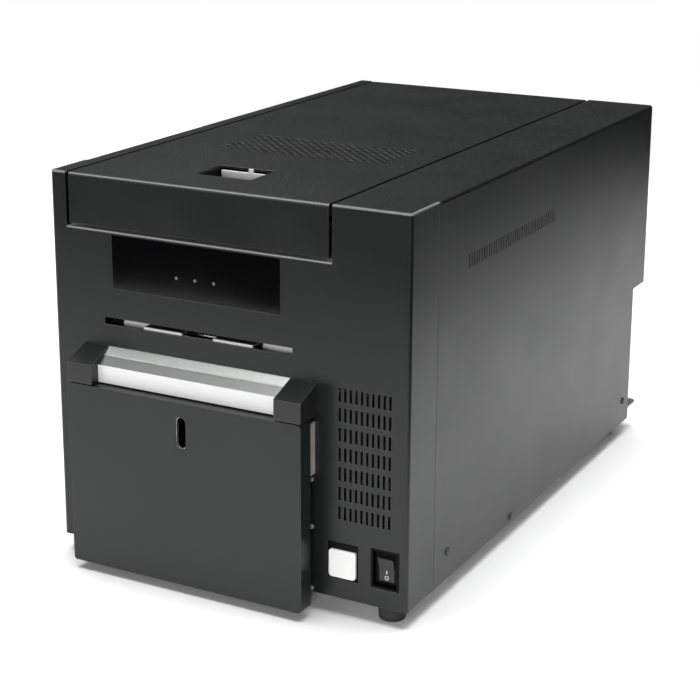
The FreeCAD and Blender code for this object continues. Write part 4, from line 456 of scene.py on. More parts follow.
# %% Painted highlights along edges, painted shade in holes
PAINTED_HIGHLIGHT = (0.3, 0.305, 0.295)
HOLE_PAINTED_SHADE, HOLE_RIM_HIGHLIGHT = (0.002, 0.002, 0.002), (0.6, 0.61, 0.59)
CASE_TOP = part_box("front_panel")[1].z
NOTCH_DROP, NOTCH_SIDE = 2.2 * MM, 2.6 * MM
NOTCH_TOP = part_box("lid_panel")[0].z - NOTCH_DROP
BEND = 2.5 * MM
PLATE_FADE = (1.5 * MM, 0.7 * MM)
BEND_FADE = (0.5 * MM, 0.1 * MM)
CORNER_FADE = (45, 10)
FRONT_RETURN = 5
RIM_HEIGHT = 0.13 * MM


def front_edge_pattern(tree, paint):
    """Painted highlight on the last millimetre of the front plate, under the lid and beside it."""
    left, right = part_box("lid_panel")[0].x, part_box("lid_panel")[1].x
    where = add(tree, "TexCoord")
    axes = add(tree, "SeparateXYZ", {0: where.outputs["Object"]})
    below = add(tree, "Math", {0: axes.outputs["X"], 1: (left + right) / 2,
                               2: (right - left) / 2 + NOTCH_SIDE}, operation="COMPARE")
    raised = add(tree, "Math", {0: below.outputs[0], 1: CASE_TOP - NOTCH_TOP, 2: axes.outputs["Z"]},
                 operation="MULTIPLY_ADD")
    lit = add(tree, "MapRange", {"Value": raised.outputs[0], "From Min": CASE_TOP - PLATE_FADE[0],
                                 "From Max": CASE_TOP - PLATE_FADE[1]})
    return mix_colour(tree, lit.outputs[0], paint, PAINTED_HIGHLIGHT)


def side_bend_pattern(tree, paint):
    """Painted highlight on the bend between side and top, fading out behind the front corner."""
    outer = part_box("right_side_panel")[1]
    where = add(tree, "TexCoord")
    axes = add(tree, "SeparateXYZ", {0: where.outputs["Object"]})
    outward = add(tree, "Math", {0: axes.outputs["X"]}, operation="ABSOLUTE")
    reach = add(tree, "Math", {0: outward.outputs[0], 1: axes.outputs["Z"]}, operation="ADD")
    crown = outer.x + outer.z - BEND * (2 - math.sqrt(2))
    bend = add(tree, "MapRange", {"Value": reach.outputs[0], "From Min": crown - BEND_FADE[0],
                                  "From Max": crown - BEND_FADE[1]})
    near = add(tree, "MapRange", {"Value": axes.outputs["Y"],
                                  "From Min": (FRONT_Y + CORNER_FADE[0]) * MM,
                                  "From Max": (FRONT_Y + CORNER_FADE[1]) * MM})
    lit = add(tree, "Math", {0: bend.outputs[0], 1: near.outputs[0]}, operation="MULTIPLY")
    return mix_colour(tree, lit.outputs[0], paint, PAINTED_HIGHLIGHT)


def punched_pattern(tree, paint):
    """Holes in the lid: walls painted black as painted shade, and a rim painted pale as a painted
    highlight where it looks forward.
    """
    where = add(tree, "TexCoord")
    axes = add(tree, "SeparateXYZ", {0: where.outputs["Object"]})
    flat = add(tree, "NewGeometry")
    turned = add(tree, "SeparateXYZ", {0: flat.outputs["Normal"]})
    forward = add(tree, "Math", {0: turned.outputs["Y"], 1: -0.3}, operation="LESS_THAN")
    inward = add(tree, "Math", {0: axes.outputs["Y"], 1: (FRONT_Y + FRONT_RETURN) * MM},
                 operation="GREATER_THAN")
    wall = add(tree, "Math", {0: forward.outputs[0], 1: inward.outputs[0]}, operation="MULTIPLY")
    rim = add(tree, "Math", {0: axes.outputs["Z"], 1: CASE_TOP - RIM_HEIGHT},
              operation="GREATER_THAN")
    painted_hole = mix_colour(tree, rim.outputs[0], HOLE_PAINTED_SHADE, HOLE_RIM_HIGHLIGHT)
    return mix_colour(tree, wall.outputs[0], paint, painted_hole)


# %% Case finishes
# The paler edge colour is partly wear and partly a painted highlight; the crest colour is a painted
# highlight.
powder = dict(drift=0.08, grain=520.0, hills=0.5, depth=0.035, edge=0.6, dust=0.015,
              edge_wear_and_highlight=(0.045, 0.047, 0.045), gloss_drift=0.03, ior=1.44, level=14.0,
              crest=(0.2, 0.205, 0.2))
CHARCOAL = (0.0095, 0.0105, 0.0101)
case_coat = finish("charcoal_powder_coat", CHARCOAL, 0.31, **powder)
front_coat = finish("charcoal_front_coat", CHARCOAL, 0.31, pattern=front_edge_pattern, **powder)
side_coat = finish("charcoal_side_coat", CHARCOAL, 0.31, pattern=side_bend_pattern, **powder)
lid_coat = finish("charcoal_lid_coat", CHARCOAL, 0.31, pattern=punched_pattern, **powder)
door_coat = finish("charcoal_satin_coat", (0.0085, 0.0096, 0.0092), 0.36, drift=0.06, grain=700.0,
                   hills=0.5, depth=0.03, edge=0.5, edge_wear_and_highlight=(0.06, 0.062, 0.06), dust=0.01,
                   ior=1.47, crest=(0.12, 0.125, 0.12))
print("case finishes:", case_coat.name, door_coat.name)

# %% [markdown]
# ## Bare metals
#
# The floor pan, the frame plates and the brackets are zinc-plated sheet: grey, a little cloudy,
# with faint rolling lines. Shafts are ground steel, so their lines run round them. Satin anodised
# aluminium is nearly white in the studio.

# %% Metal finishes
zinc = finish("zinc_plate", (0.56, 0.57, 0.56), 0.38, metal=1.0, drift=0.14, grain=90.0, hills=0.3,
              depth=0.01, edge=0.25, lines=(1.0, 0.02, 1.0), dust=0.04, gloss_drift=0.09)
ground_steel = finish("ground_steel", (0.60, 0.60, 0.61), 0.27, metal=1.0, drift=0.05, grain=600.0,
                      depth=0.004, edge=0.2, lines=(4.0, 0.05, 0.05), gloss_drift=0.07)
pale_zinc = finish("pale_zinc", (0.5, 0.49, 0.43), 0.42, metal=0.35, drift=0.06, grain=300.0,
                   hills=0.3, depth=0.006, edge=0.25)
satin_aluminium = finish("satin_aluminium", (0.84, 0.845, 0.84), 0.22, metal=0.94, drift=0.03,
                         grain=900.0, depth=0.0012, edge=0.3, lines=(0.01, 1.0, 1.0),
                         gloss_drift=0.03)
black_steel = finish("blackened_steel", (0.035, 0.035, 0.037), 0.36, metal=0.0, drift=0.1,
                     grain=900.0, depth=0.01, edge=0.15, edge_wear_and_highlight=(0.2, 0.2, 0.2))
print("metal finishes:", zinc.name, ground_steel.name, satin_aluminium.name, black_steel.name)

# %% [markdown]
# ## Moulded plastics and rubber
#
# Moulded parts take the fine spark-eroded texture of their mould. Black ones are used for frames
# and guides, white ones for what a hand presses or pulls. The window in front is polished, and
# the feet and belts are rubber, with a dull gloss and a light bloom.

# %% Plastic and rubber finishes
black_moulding = finish("black_moulding", (0.020, 0.021, 0.0215), 0.44, drift=0.08, grain=1500.0,
                        hills=0.35, depth=0.02, edge=0.4, edge_wear_and_highlight=(0.07, 0.07, 0.07), dust=0.04)
cap_moulding = finish("cap_moulding", (0.009, 0.0095, 0.0096), 0.31, drift=0.05, grain=1500.0,
                      hills=0.3, depth=0.008, edge=0.7, edge_wear_and_highlight=(0.09, 0.09, 0.09))
# This black is moulding made darker, and with a weaker reflection, than the other black parts:
# painted shade for the parts that sit deep in hollows.
black_with_painted_shade = finish("black_with_painted_shade", (0.0015, 0.0015, 0.0016), 0.4, drift=0.05, grain=1500.0,
                      hills=0.3, depth=0.01, edge=0.25, ior=1.2)
white_moulding = finish("white_moulding", (0.84, 0.84, 0.825), 0.36, drift=0.02, grain=1400.0,
                        hills=0.3, depth=0.01, edge=0.4)
grey_moulding = finish("grey_moulding", (0.24, 0.24, 0.25), 0.45, drift=0.05, grain=1300.0,
                       hills=0.3, depth=0.015, edge=0.3)
smoked_window = finish("smoked_window", (0.0015, 0.0015, 0.0018), 0.09, drift=0.05, grain=40.0,
                       hills=0.2, depth=0.002, edge=0.2, gloss_drift=0.02)
black_rubber = finish("black_rubber", (0.022, 0.022, 0.023), 0.72, drift=0.18, grain=800.0,
                      hills=0.4, depth=0.03, edge=0.5, edge_wear_and_highlight=(0.05, 0.05, 0.05), dust=0.12)
pale_rubber = finish("pale_rubber", (0.86, 0.86, 0.84), 0.6, drift=0.08, grain=900.0, hills=0.4,
                     depth=0.03, edge=0.4)
print("moulded finishes:", black_moulding.name, white_moulding.name, grey_moulding.name)

# %% [markdown]
# ## Finishes with a pattern
#
# Some solids are made of several materials at once. On the circuit board a test on the x
# coordinate tells the board from the parts that stand on it, and a brick pattern gives the
# printed tracks. The stepping motor has bright end bells and a dark stack of laminations between
# them. The ledge over the door is bare metal above and white enamel in front; the lower band of
# the metal is painted darker, as painted shade. The guide in the card slot is white moulding with
# a white strip along its edge, and all of it behind that strip is painted black, as painted shade
# inside the slot. The small lights in front glow a little.


# %% Patterned finishes
PILLAR, BOARD, SLIVER = 8 * MM, 1.6 * MM, 0.05 * MM
SHADED_BAND_WIDTH = 6.8 * MM
WHITE_STRIP = 1.3 * MM


def board_pattern(tree, paint):
    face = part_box("main_board")[1].x - PILLAR - BOARD
    where = add(tree, "TexCoord")
    axes = add(tree, "SeparateXYZ", {0: where.outputs["Object"]})
    sheet_place = add(tree, "CombineXYZ", {0: axes.outputs["Y"], 1: axes.outputs["Z"]})
    tracks = add(tree, "TexBrick", {"Vector": sheet_place.outputs[0], "Scale": 60.0,
                                    "Mortar Size": 0.03, "Color1": (0.012, 0.10, 0.045, 1),
                                    "Color2": (0.010, 0.085, 0.04, 1),
                                    "Mortar": (0.03, 0.2, 0.09, 1)})
    chips = add(tree, "Math", {0: axes.outputs["X"], 1: face - SLIVER}, operation="LESS_THAN")
    pillars = add(tree, "Math", {0: axes.outputs["X"], 1: face + BOARD + SLIVER},
                  operation="GREATER_THAN")
    printed = mix_colour(tree, chips.outputs[0], tracks.outputs["Color"], (0.02, 0.02, 0.021))
    return mix_colour(tree, pillars.outputs[0], printed, (0.55, 0.42, 0.2))


def motor_pattern(tree, paint):
    low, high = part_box("feed_motor")
    where = add(tree, "TexCoord")
    axes = add(tree, "SeparateXYZ", {0: where.outputs["Object"]})
    along = add(tree, "MapRange", {"Value": axes.outputs["X"],
                                   "From Min": low.x, "From Max": high.x})
    bands = add(tree, "ValToRGB", {0: along.outputs[0]})
    bands.color_ramp.interpolation = "CONSTANT"
    bands.color_ramp.elements[0].color = (0.6, 0.6, 0.6, 1)
    bands.color_ramp.elements[1].position = 0.3
    bands.color_ramp.elements[1].color = (0.03, 0.03, 0.03, 1)
    bands.color_ramp.elements.new(0.74).color = (0.6, 0.6, 0.6, 1)
    return bands.outputs[0]


def ledge_pattern(tree, paint):
    """A white enamelled front, and above it two bands of bare metal with a groove between; the lower
    band is painted darker, as painted shade.
    """
    where = add(tree, "TexCoord")
    axes = add(tree, "SeparateXYZ", {0: where.outputs["Object"]})
    shaded_lower_band = add(tree, "Math", {0: axes.outputs["Y"],
                                    1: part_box("output_bar")[0].y + SHADED_BAND_WIDTH},
                     operation="LESS_THAN")
    metal = mix_colour(tree, shaded_lower_band.outputs[0], (0.49, 0.50, 0.48), (0.24, 0.245, 0.24))
    flat = add(tree, "NewGeometry")
    turned = add(tree, "SeparateXYZ", {0: flat.outputs["Normal"]})
    front = add(tree, "Math", {0: turned.outputs["Y"], 1: -0.9}, operation="LESS_THAN")
    bare = add(tree, "Math", {0: 1.0, 1: front.outputs[0]}, operation="SUBTRACT")
    tree.links.new(bare.outputs[0], tree.nodes["Principled BSDF"].inputs["Metallic"])
    return mix_colour(tree, front.outputs[0], metal, (0.86, 0.865, 0.86))


def guide_pattern(tree, paint):
    """A white strip along the front edge of the guide; the rest of the white guide is painted black
    as painted shade.
    """
    where = add(tree, "TexCoord")
    axes = add(tree, "SeparateXYZ", {0: where.outputs["Object"]})
    behind = add(tree, "Math", {0: axes.outputs["Y"],
                                1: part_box("exit_guide")[0].y + WHITE_STRIP},
                 operation="GREATER_THAN")
    return mix_colour(tree, behind.outputs[0], paint, (0.012, 0.012, 0.0125))


ledge_satin = finish("ledge_satin", (0.8, 0.81, 0.79), 0.24, metal=1.0, grain=900.0, depth=0.0012,
                     edge=0.3, lines=(0.01, 1.0, 1.0), gloss_drift=0.03, pattern=ledge_pattern)
guide_with_painted_shade = finish("guide_with_painted_shade", (0.86, 0.86, 0.845), 0.4, drift=0.02, grain=1400.0, depth=0.01,
                     edge=0.2, pattern=guide_pattern)
circuit_board = finish("circuit_board", (0.012, 0.1, 0.045), 0.35, grain=900.0, depth=0.01,
                       edge=0.15, pattern=board_pattern)
stepper_can = finish("stepper_can", (0.3, 0.3, 0.3), 0.4, grain=900.0, depth=0.01, edge=0.3,
                     metal=0.6, pattern=motor_pattern)
contact_gold = finish("contact_gold", (0.85, 0.62, 0.25), 0.25, metal=1.0, grain=900.0,
                      depth=0.002, edge=0.1)
mark_white = finish("printed_mark", (0.62, 0.62, 0.61), 0.5, grain=1500.0, depth=0.004, edge=0.05)
light_pipe = finish("light_pipe", (0.10, 0.11, 0.12), 0.3, grain=900.0, depth=0.004, edge=0.15)
glow = light_pipe.node_tree.nodes["Principled BSDF"].inputs
glow["Emission Color"].default_value = (0.5, 0.6, 0.7, 1)
glow["Emission Strength"].default_value = 0.06
print("patterned finishes:", circuit_board.name, stepper_can.name, light_pipe.name)

# %% [markdown]
# ## Dress the solids
#
# Each solid of the machine names a material slot in its record. A table turns the slot into a
# finish, and a second table holds the few solids that need a finish of their own. The solids'
# shapes aren't touched: only their material slots change.

# %% Dress the solids
slot_finish = {
    "case": case_coat, "zinc": zinc, "steel": ground_steel, "aluminium": satin_aluminium,
    "black_plastic": black_moulding, "white_plastic": white_moulding,
    "grey_plastic": grey_moulding, "window": smoked_window, "light": light_pipe,
    "rubber": black_rubber, "pale_rubber": pale_rubber, "board": circuit_board,
}
own_finish = {
    "front_panel": front_coat, "left_side_panel": side_coat, "right_side_panel": side_coat,
    "lid_panel": lid_coat, "lid_liner": black_with_painted_shade,
    "hopper_door": door_coat, "end_caps": cap_moulding, "feed_motor": stepper_can,
    "output_bar": ledge_satin, "exit_guide": guide_with_painted_shade, "hopper_frame": cap_moulding,
    "button_bezel": black_with_painted_shade, "switch_body": black_with_painted_shade, "latch_plate": pale_zinc,
}
for entry in frame["record"]["subparts"]:
    solid = frame["nodes"][entry["node"]]
    chosen = own_finish.get(entry["node"], slot_finish[entry["material_slot"]])
    solid.data.materials.clear()
    solid.data.materials.append(chosen)


# %% [markdown]
# ## Tools for the small pieces
#
# The small pieces are modelled with bmesh operators. Three tools do what they share: one turns a
# finished bmesh into an object that rides on a body of the machine, one spins an outline round
# an axis, and one stamps copies of a template at several places.

# %% Tools for the small pieces
def settle(name, shape, material, body, smooth=35):
    """Makes the bmesh an object at the origin that moves with a body."""
    bmesh.ops.remove_doubles(shape, verts=shape.verts, dist=1e-7)
    bmesh.ops.recalc_face_normals(shape, faces=shape.faces)
    mesh = bpy.data.meshes.new(name)
    shape.to_mesh(mesh)
    shape.free()
    mesh.materials.append(material)
    mesh.shade_smooth()
    mesh.set_sharp_from_angle(angle=math.radians(smooth))
    piece = bpy.data.objects.new(name, mesh)
    bpy.context.scene.collection.objects.link(piece)
    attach(piece, body)
    print(name, "faces:", len(mesh.polygons), "rides on", body)
    return piece


def spun(outline, steps=32):
    """A turned piece: the outline, as radius and height in millimetres, spun round Z."""
    shape = bmesh.new()
    points = [shape.verts.new(mm(radius, 0, level)) for radius, level in outline]
    edges = [shape.edges.new(pair) for pair in zip(points, points[1:])]
    bmesh.ops.spin(shape, geom=points + edges, cent=(0, 0, 0), axis=(0, 0, 1), dvec=(0, 0, 0),
                   angle=2 * math.pi, steps=steps, use_merge=True, use_duplicate=False)
    bmesh.ops.remove_doubles(shape, verts=shape.verts, dist=1e-7)
    return shape


def stamp(shape, template, matrix):
    """Adds a copy of a template mesh to the shape, moved by the matrix."""
    known = set(shape.verts)
    shape.from_mesh(template)
    fresh = [point for point in shape.verts if point not in known]
    bmesh.ops.transform(shape, matrix=matrix, verts=fresh)


def facing(place, toward):
    """A matrix that moves the origin to the place and turns Z toward a direction."""
    return Matrix.Translation(place) @ Vector(toward).to_track_quat("Z", "Y").to_matrix().to_4x4()


# %% [markdown]
# ## Screws
#
# Six screws hold the side plates to the floor pan, and one holds each foot. Each has a low round
# head with a cross cut into it. The head is spun from its outline. The cross is taken out with a
# Boolean modifier, whose result is then made the mesh, because no operator cuts a cross as neatly.

# %% Screws
SIDE_X = 137.5
SIDE_SCREWS = [(-153.7, 32.5), (-43.8, 17.2), (197.9, 32.5)]
FOOT_SEAT = 8
FOOT_PLACES = [(x, y) for x in (-119.0, 119.0) for y in (-199.6, 199.4)]


def screw_template():
    shape = spun([(0, -6), (1.2, -6), (1.5, -5.6), (1.5, 0), (3, 0), (3, 0.35), (2.85, 0.75),
                  (2.4, 1.1), (1.6, 1.33), (0, 1.4)])
    bmesh.ops.recalc_face_normals(shape, faces=shape.faces)
    mesh = bpy.data.meshes.new("screw_blank")
    shape.to_mesh(mesh)
    shape.free()
    blank = bpy.data.objects.new("screw_blank", mesh)
    cross = bmesh.new()
    for size in ((3.4, 0.7, 2.0), (0.7, 3.4, 2.0)):
        bar = bmesh.ops.create_cube(cross, size=1)["verts"]
        bmesh.ops.scale(cross, vec=mm(*size), verts=bar)
        bmesh.ops.translate(cross, vec=mm(0, 0, 1.35), verts=bar)
        for point in bar:
            if point.co.z < mm(0, 0, 1).z:
                point.co.x *= 0.45
                point.co.y *= 0.45
    cutter_mesh = bpy.data.meshes.new("cross_cutter")
    cross.to_mesh(cutter_mesh)
    cross.free()
    cutter = bpy.data.objects.new("cross_cutter", cutter_mesh)
    for item in (blank, cutter):
        bpy.context.scene.collection.objects.link(item)
    carve = blank.modifiers.new("cross", "BOOLEAN")
    carve.operation, carve.object, carve.solver, carve.use_self = "DIFFERENCE", cutter, "EXACT", True
    bpy.context.view_layer.update()
    shaped = bpy.data.meshes.new_from_object(
        blank.evaluated_get(bpy.context.evaluated_depsgraph_get()))
    bpy.data.objects.remove(blank)
    bpy.data.objects.remove(cutter)
    return shaped


cross_screw = screw_template()
shape = bmesh.new()
for side in (-1, 1):
    for y, z in SIDE_SCREWS:
        stamp(shape, cross_screw, facing(mm(side * SIDE_X, y, z), (side, 0, 0)))
for x, y in FOOT_PLACES:
    stamp(shape, cross_screw, facing(mm(x, y, FOOT_SEAT), (0, 0, -1)))
screws = settle("cross_screws", shape, black_steel, "housing")
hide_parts("case_screws")

# %% [markdown]
# ## Feet
#
# The four feet are turned rubber buffers, a little narrower at the toe, with a round hole below
# for the screw head. Spinning one outline gives the soft lower edge, the small bead under the pan
# and the hole in one go.

# %% Feet
foot_shape = spun([(4, 0.6), (4.5, 0), (8.3, 0), (8.9, 0.4), (9.1, 1.2), (9.6, 9.6), (9.35, 10.0),
                   (9.35, 10.4), (9.7, 10.8), (10, 11.2), (10, 12.6), (9.7, 13), (1.8, 13),
                   (1.8, FOOT_SEAT), (4, FOOT_SEAT), (4, 0.6)], steps=40)
foot_mesh = bpy.data.meshes.new("foot_blank")
foot_shape.to_mesh(foot_mesh)
foot_shape.free()
shape = bmesh.new()
for x, y in FOOT_PLACES:
    stamp(shape, foot_mesh, Matrix.Translation(mm(x, y, 0)))
feet = settle("turned_feet", shape, black_rubber, "housing")
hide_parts("rubber_feet")


# %% [markdown]
# ## Rim of the door's slot
#
# The upright slot in the door shows how many cards are left. Its rim is a bright lining pressed
# through the steel. A circle is pulled apart into a stadium, extruded through the door and given
# a wall with solidify.

# %% Rim of the slot
SLOT_WIDTH, SLOT_HEIGHT, SLOT_Z = 7.95, 22.45, 116.75
LINING_DEPTH, LINING_WALL, LINING_INSET = 2.6, 0.3, 0.9


def stadium(shape, width, height, segments=24):
    """A flat stadium outline in the XZ plane, centred on the origin, in millimetres."""
    ring = bmesh.ops.create_circle(shape, cap_ends=False, radius=width / 2 * MM, segments=segments)
    bmesh.ops.rotate(shape, cent=(0, 0, 0), verts=ring["verts"],
                     matrix=Matrix.Rotation(math.pi / 2, 3, "X"))
    upper = [point for point in ring["verts"] if point.co.z > 1e-6]
    lower = [point for point in ring["verts"] if point.co.z < -1e-6]
    bmesh.ops.translate(shape, vec=mm(0, 0, (height - width) / 2), verts=upper)
    bmesh.ops.translate(shape, vec=mm(0, 0, (width - height) / 2), verts=lower)
    return ring["verts"]


shape = bmesh.new()
stadium(shape, SLOT_WIDTH, SLOT_HEIGHT)
wall = bmesh.ops.extrude_edge_only(shape, edges=shape.edges[:])["geom"]
bmesh.ops.translate(shape, vec=mm(0, LINING_DEPTH, 0),
                    verts=[item for item in wall if isinstance(item, bmesh.types.BMVert)])
bmesh.ops.recalc_face_normals(shape, faces=shape.faces)
bmesh.ops.solidify(shape, geom=shape.faces[:], thickness=LINING_WALL * MM)
bmesh.ops.translate(shape, vec=mm(DOOR_X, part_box("hopper_door")[0].y / MM + LINING_INSET, SLOT_Z),
                    verts=shape.verts)
slot_rim = settle("door_slot_rim", shape, satin_aluminium, "hopper_door")

# %% [markdown]
# ## Marks on the power switch
#
# The rocker carries the usual line for on and ring for off. They are printed, so they are only a
# few hundredths thick. Both lie on the lower face of the rocker, which leans by a degree, so they
# are made flat at the origin and then moved by the same turn as that face.

# %% Marks on the power switch
KEY_INSET, KEY_Z, KEY_LEAN = 2.89, 35.21, 1
LINE_WIDTH, LINE_HEIGHT, LINE_RISE = 0.75, 2.6, 2.4
RING_RADIUS, RING_WALL, RING_DROP, RING_STEPS = 1.55, 0.55, -1.6, 32
INK = 0.06
rocker_x = sum(corner.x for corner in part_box("power_rocker")) / 2 / MM
key_face = (Matrix.Translation(mm(rocker_x, FRONT_Y + KEY_INSET, KEY_Z))
            @ Matrix.Rotation(math.radians(KEY_LEAN), 4, "X"))
shape = bmesh.new()
line_mark = stadium(shape, LINE_WIDTH, LINE_HEIGHT, segments=12)
bmesh.ops.contextual_create(shape, geom=shape.edges[:])
bmesh.ops.translate(shape, vec=mm(0, 0, LINE_RISE), verts=line_mark)
ring_mark = bmesh.ops.create_circle(shape, cap_ends=True, radius=RING_RADIUS * MM,
                                    segments=RING_STEPS)["verts"]
bmesh.ops.rotate(shape, cent=(0, 0, 0), verts=ring_mark,
                 matrix=Matrix.Rotation(math.pi / 2, 3, "X"))
disc = [face for face in shape.faces if len(face.verts) == RING_STEPS]
bmesh.ops.inset_region(shape, faces=disc, thickness=RING_WALL * MM, use_boundary=True,
                       use_even_offset=True)
middle = [face for face in shape.faces if len(face.verts) == RING_STEPS]
bmesh.ops.delete(shape, geom=middle, context="FACES")
bmesh.ops.translate(shape, vec=mm(0, 0, RING_DROP),
                    verts=[point for point in shape.verts if point not in set(line_mark)])
bmesh.ops.recalc_face_normals(shape, faces=shape.faces)
bmesh.ops.solidify(shape, geom=shape.faces[:], thickness=INK * MM)
bmesh.ops.transform(shape, matrix=key_face, verts=shape.verts)
marks = settle("switch_marks", shape, mark_white, "power_rocker")

# %% [markdown]
# ## The white button
#
# The button that opens the door is a moulded cap with rounded corners, a softened rim and a face
# that is very slightly dished. Behind it, out of sight, a stem ends in a wedge that pushes the
# latch. The cap starts as a cube, its four long edges are bevelled, and its front face is inset.

# %% The white button
CAP_WIDTH, CAP_DEPTH, CAP_HEIGHT = 20, 9, 19.6
CAP_CORNER, CAP_EDGE, DISH_EDGE, DISH_DEPTH = 2.4, 0.7, 1.3, 0.3
STEM_WIDTH, STEM_DEPTH, STEM_HEIGHT, WEDGE = 12, 12, 10, 7.9
button_low, button_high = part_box("open_button")
shape = bmesh.new()
cap = bmesh.ops.create_cube(shape, size=1)["verts"]
bmesh.ops.scale(shape, vec=mm(CAP_WIDTH, CAP_DEPTH, CAP_HEIGHT), verts=cap)
bmesh.ops.translate(shape, vec=mm(0, CAP_DEPTH / 2, 0), verts=cap)
corners = [edge for edge in shape.edges
           if abs((edge.verts[0].co - edge.verts[1].co).y) > CAP_DEPTH / 2 * MM]
bmesh.ops.bevel(shape, geom=corners, offset=CAP_CORNER * MM, offset_type="OFFSET", segments=6,
                profile=0.5, affect="EDGES", material=-1)
front_face = min(shape.faces, key=lambda face: face.calc_center_median().y)
bmesh.ops.bevel(shape, geom=list(front_face.edges), offset=CAP_EDGE * MM, offset_type="OFFSET",
                segments=4, profile=0.5, affect="EDGES", material=-1)
front_face = min(shape.faces, key=lambda face: face.calc_center_median().y)
bmesh.ops.inset_region(shape, faces=[front_face], thickness=DISH_EDGE * MM, use_even_offset=True)
bmesh.ops.translate(shape, vec=mm(0, DISH_DEPTH, 0), verts=list(front_face.verts))
stem = bmesh.ops.create_cube(shape, size=1)["verts"]
bmesh.ops.scale(shape, vec=mm(STEM_WIDTH, STEM_DEPTH, STEM_HEIGHT), verts=stem)
bmesh.ops.translate(shape, vec=mm(0, CAP_DEPTH + STEM_DEPTH / 2, 0), verts=stem)
slant = [edge for edge in shape.edges
         if all(v in stem and v.co.x > 0 and v.co.y > (CAP_DEPTH + STEM_DEPTH / 2) * MM
                for v in edge.verts)]
bmesh.ops.bevel(shape, geom=slant, offset=WEDGE * MM, offset_type="OFFSET", segments=1,
                profile=0.5, affect="EDGES", material=-1)
bmesh.ops.translate(shape, vec=Vector(((button_low.x + button_high.x) / 2, button_low.y,
                                       (button_low.z + button_high.z) / 2)), verts=shape.verts)
button = settle("push_button", shape, white_moulding, "open_button")
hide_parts("open_button")

# %% [markdown]
# ## Weld marks
#
# Near the top of the front plate, two spot welds that hold the inner bracket show through the
# paint as low blisters. Each is a spun lens, a few hundredths of a millimetre high.

# %% Weld marks
WELD_PLACES = [(89.5, 275.2), (131.0, 275.2)]
lens_shape = spun([(1.9, -0.1), (1.9, -0.02), (1.4, 0.015), (0.8, 0.05), (0, 0.06)], steps=24)
lens_mesh = bpy.data.meshes.new("weld_blank")
lens_shape.to_mesh(lens_mesh)
lens_shape.free()
shape = bmesh.new()
for x, z in WELD_PLACES:
    stamp(shape, lens_mesh, facing(mm(x, FRONT_Y, z), (0, -1, 0)))
welds = settle("weld_marks", shape, case_coat, "housing", smooth=60)

# %% [markdown]
# ## Buffers behind the door
#
# Three small pale buffers stand on the front plate just inside the door's free edge, so that the
# steel door closes softly. They show as light dots in the gap beside the door.

# %% Buffers
BUFFER_PLACES = [(66.6, 93.5), (66.6, 60.0), (66.6, 15.8)]
buffer_shape = spun([(0, 0), (1.7, 0), (1.7, 0.8), (1.3, 1.1), (1.15, 7.2), (0.9, 7.9), (0.5, 8.2),
                     (0, 8.3)], steps=24)
buffer_mesh = bpy.data.meshes.new("buffer_blank")
buffer_shape.to_mesh(buffer_mesh)
buffer_shape.free()
shape = bmesh.new()
for x, z in BUFFER_PLACES:
    stamp(shape, buffer_mesh, facing(mm(x, FRONT_Y, z), (0, -1, 0)))
buffers = settle("door_buffers", shape, grey_moulding, "housing")

# %% [markdown]
# ## Springs of the print head
#
# The print head slides on two rods under the lid, and a spring round each rod presses it down.
# A spin with a small rise at each step winds a ring of wire into a coil. As the head is pushed up
# by a card the springs would shorten; here they ride on the lid at their full length.

# %% Springs
ROD_Y, ROD_REACH = FRONT_Y + 104, 62
WIRE_RADIUS, COIL_RADIUS, COIL_SEAT = 0.5, 5.2, 0.6
TOWER_PLATE, HEAD_TRAVEL = 3, 3
head_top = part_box("print_head")[1].z
plate_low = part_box("head_tower")[1].z - TOWER_PLATE * MM
turns, per_turn = 15, 14
shape = bmesh.new()
ring = bmesh.ops.create_circle(shape, cap_ends=True, radius=WIRE_RADIUS * MM, segments=7)["verts"]
bmesh.ops.rotate(shape, cent=(0, 0, 0), verts=ring, matrix=Matrix.Rotation(math.pi / 2, 3, "X"))
bmesh.ops.translate(shape, vec=mm(COIL_RADIUS, 0, COIL_SEAT), verts=ring)
rise = (plate_low - head_top - 2 * COIL_SEAT * MM) / (turns * per_turn)
bmesh.ops.spin(shape, geom=shape.faces[:] + shape.edges[:] + shape.verts[:], cent=(0, 0, 0),
               axis=(0, 0, 1), dvec=(0, 0, rise), angle=2 * math.pi * turns,
               steps=turns * per_turn, use_merge=False, use_duplicate=False)
coil_mesh = bpy.data.meshes.new("coil_blank")
shape.to_mesh(coil_mesh)
shape.free()
shape = bmesh.new()
for side in (-1, 1):
    stamp(shape, coil_mesh, Matrix.Translation(
        Vector(((LANE_X + side * ROD_REACH) * MM, ROD_Y * MM, head_top))))
springs = settle("head_springs", shape, ground_steel, "lid", smooth=60)
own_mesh(springs)

# %% [markdown]
# ## Contacts in the sockets
#
# The two data sockets at the back are empty shells without their contacts. The square one gets a
# tongue with four gold strips, the wide one a row of eight sprung wires, which slope as they go
# in. Thin strips are cubes that are scaled and softly bevelled.


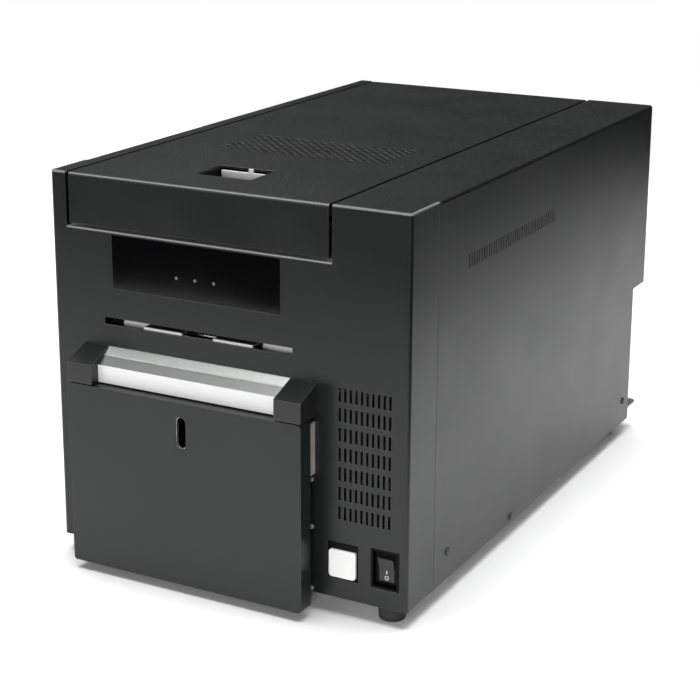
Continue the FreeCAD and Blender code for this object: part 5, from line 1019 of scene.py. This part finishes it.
# %% Contacts
def strip(shape, size, place, lean=0.0):
    """A thin bevelled strip; sizes and place in millimetres, lean in degrees about X."""
    points = bmesh.ops.create_cube(shape, size=1)["verts"]
    bmesh.ops.scale(shape, vec=mm(*size), verts=points)
    edges = list({edge for point in points for edge in point.link_edges})
    made = bmesh.ops.bevel(shape, geom=edges, offset=min(size) * 0.2 * MM, offset_type="OFFSET",
                           segments=2, profile=0.5, affect="EDGES", material=-1)
    points = list({point for face in made["faces"] for point in face.verts})
    bmesh.ops.rotate(shape, cent=(0, 0, 0), verts=points,
                     matrix=Matrix.Rotation(math.radians(lean), 3, "X"))
    bmesh.ops.translate(shape, vec=mm(*place), verts=points)


LOW_BACK = 211.4
SQUARE_X, WIDE_X = 52.5, 29.5
STRIP_STEP, WIRE_STEP = 1.8, 1.05
shape = bmesh.new()
strip(shape, (7.6, 8.6, 1.9), (SQUARE_X, LOW_BACK - 6.6, 84.4))
tongue = settle("socket_tongue", shape, white_moulding, "housing")
shape = bmesh.new()
for index in range(4):
    strip(shape, (0.9, 7.4, 0.16),
          (SQUARE_X + (index - 1.5) * STRIP_STEP, LOW_BACK - 6.4, 83.4))
for index in range(8):
    strip(shape, (0.35, 8.4, 0.35),
          (WIDE_X + (index - 3.5) * WIRE_STEP, LOW_BACK - 6.2, 86.9), lean=-14)
contacts = settle("socket_contacts", shape, contact_gold, "housing")


# %% [markdown]
# ## Floor
#
# The printer stands on white paper. The paper is a plain grid with a matt white finish and a
# hint of tooth. It is short in front and at the right, so that the upper part of the front
# reflects the dimmer room.

# %% Floor
FLOOR_HALF, FLOOR_MIDDLE = (0.84, 1.03, 1), (-0.42, 0.23, 0)
shape = bmesh.new()
bmesh.ops.create_grid(shape, x_segments=8, y_segments=8, size=1)
bmesh.ops.scale(shape, vec=FLOOR_HALF, verts=shape.verts)
bmesh.ops.translate(shape, vec=FLOOR_MIDDLE, verts=shape.verts)
floor_mesh = bpy.data.meshes.new("paper_floor")
shape.to_mesh(floor_mesh)
shape.free()
floor_mesh.materials.append(finish("white_paper", (0.91, 0.91, 0.91), 0.9, drift=0.01, grain=300.0,
                                   depth=0.01, edge=0.1))
floor = bpy.data.objects.new("paper_floor", floor_mesh)
bpy.context.scene.collection.objects.link(floor)
print("floor reaches", [round(v, 2) for v in floor.dimensions])
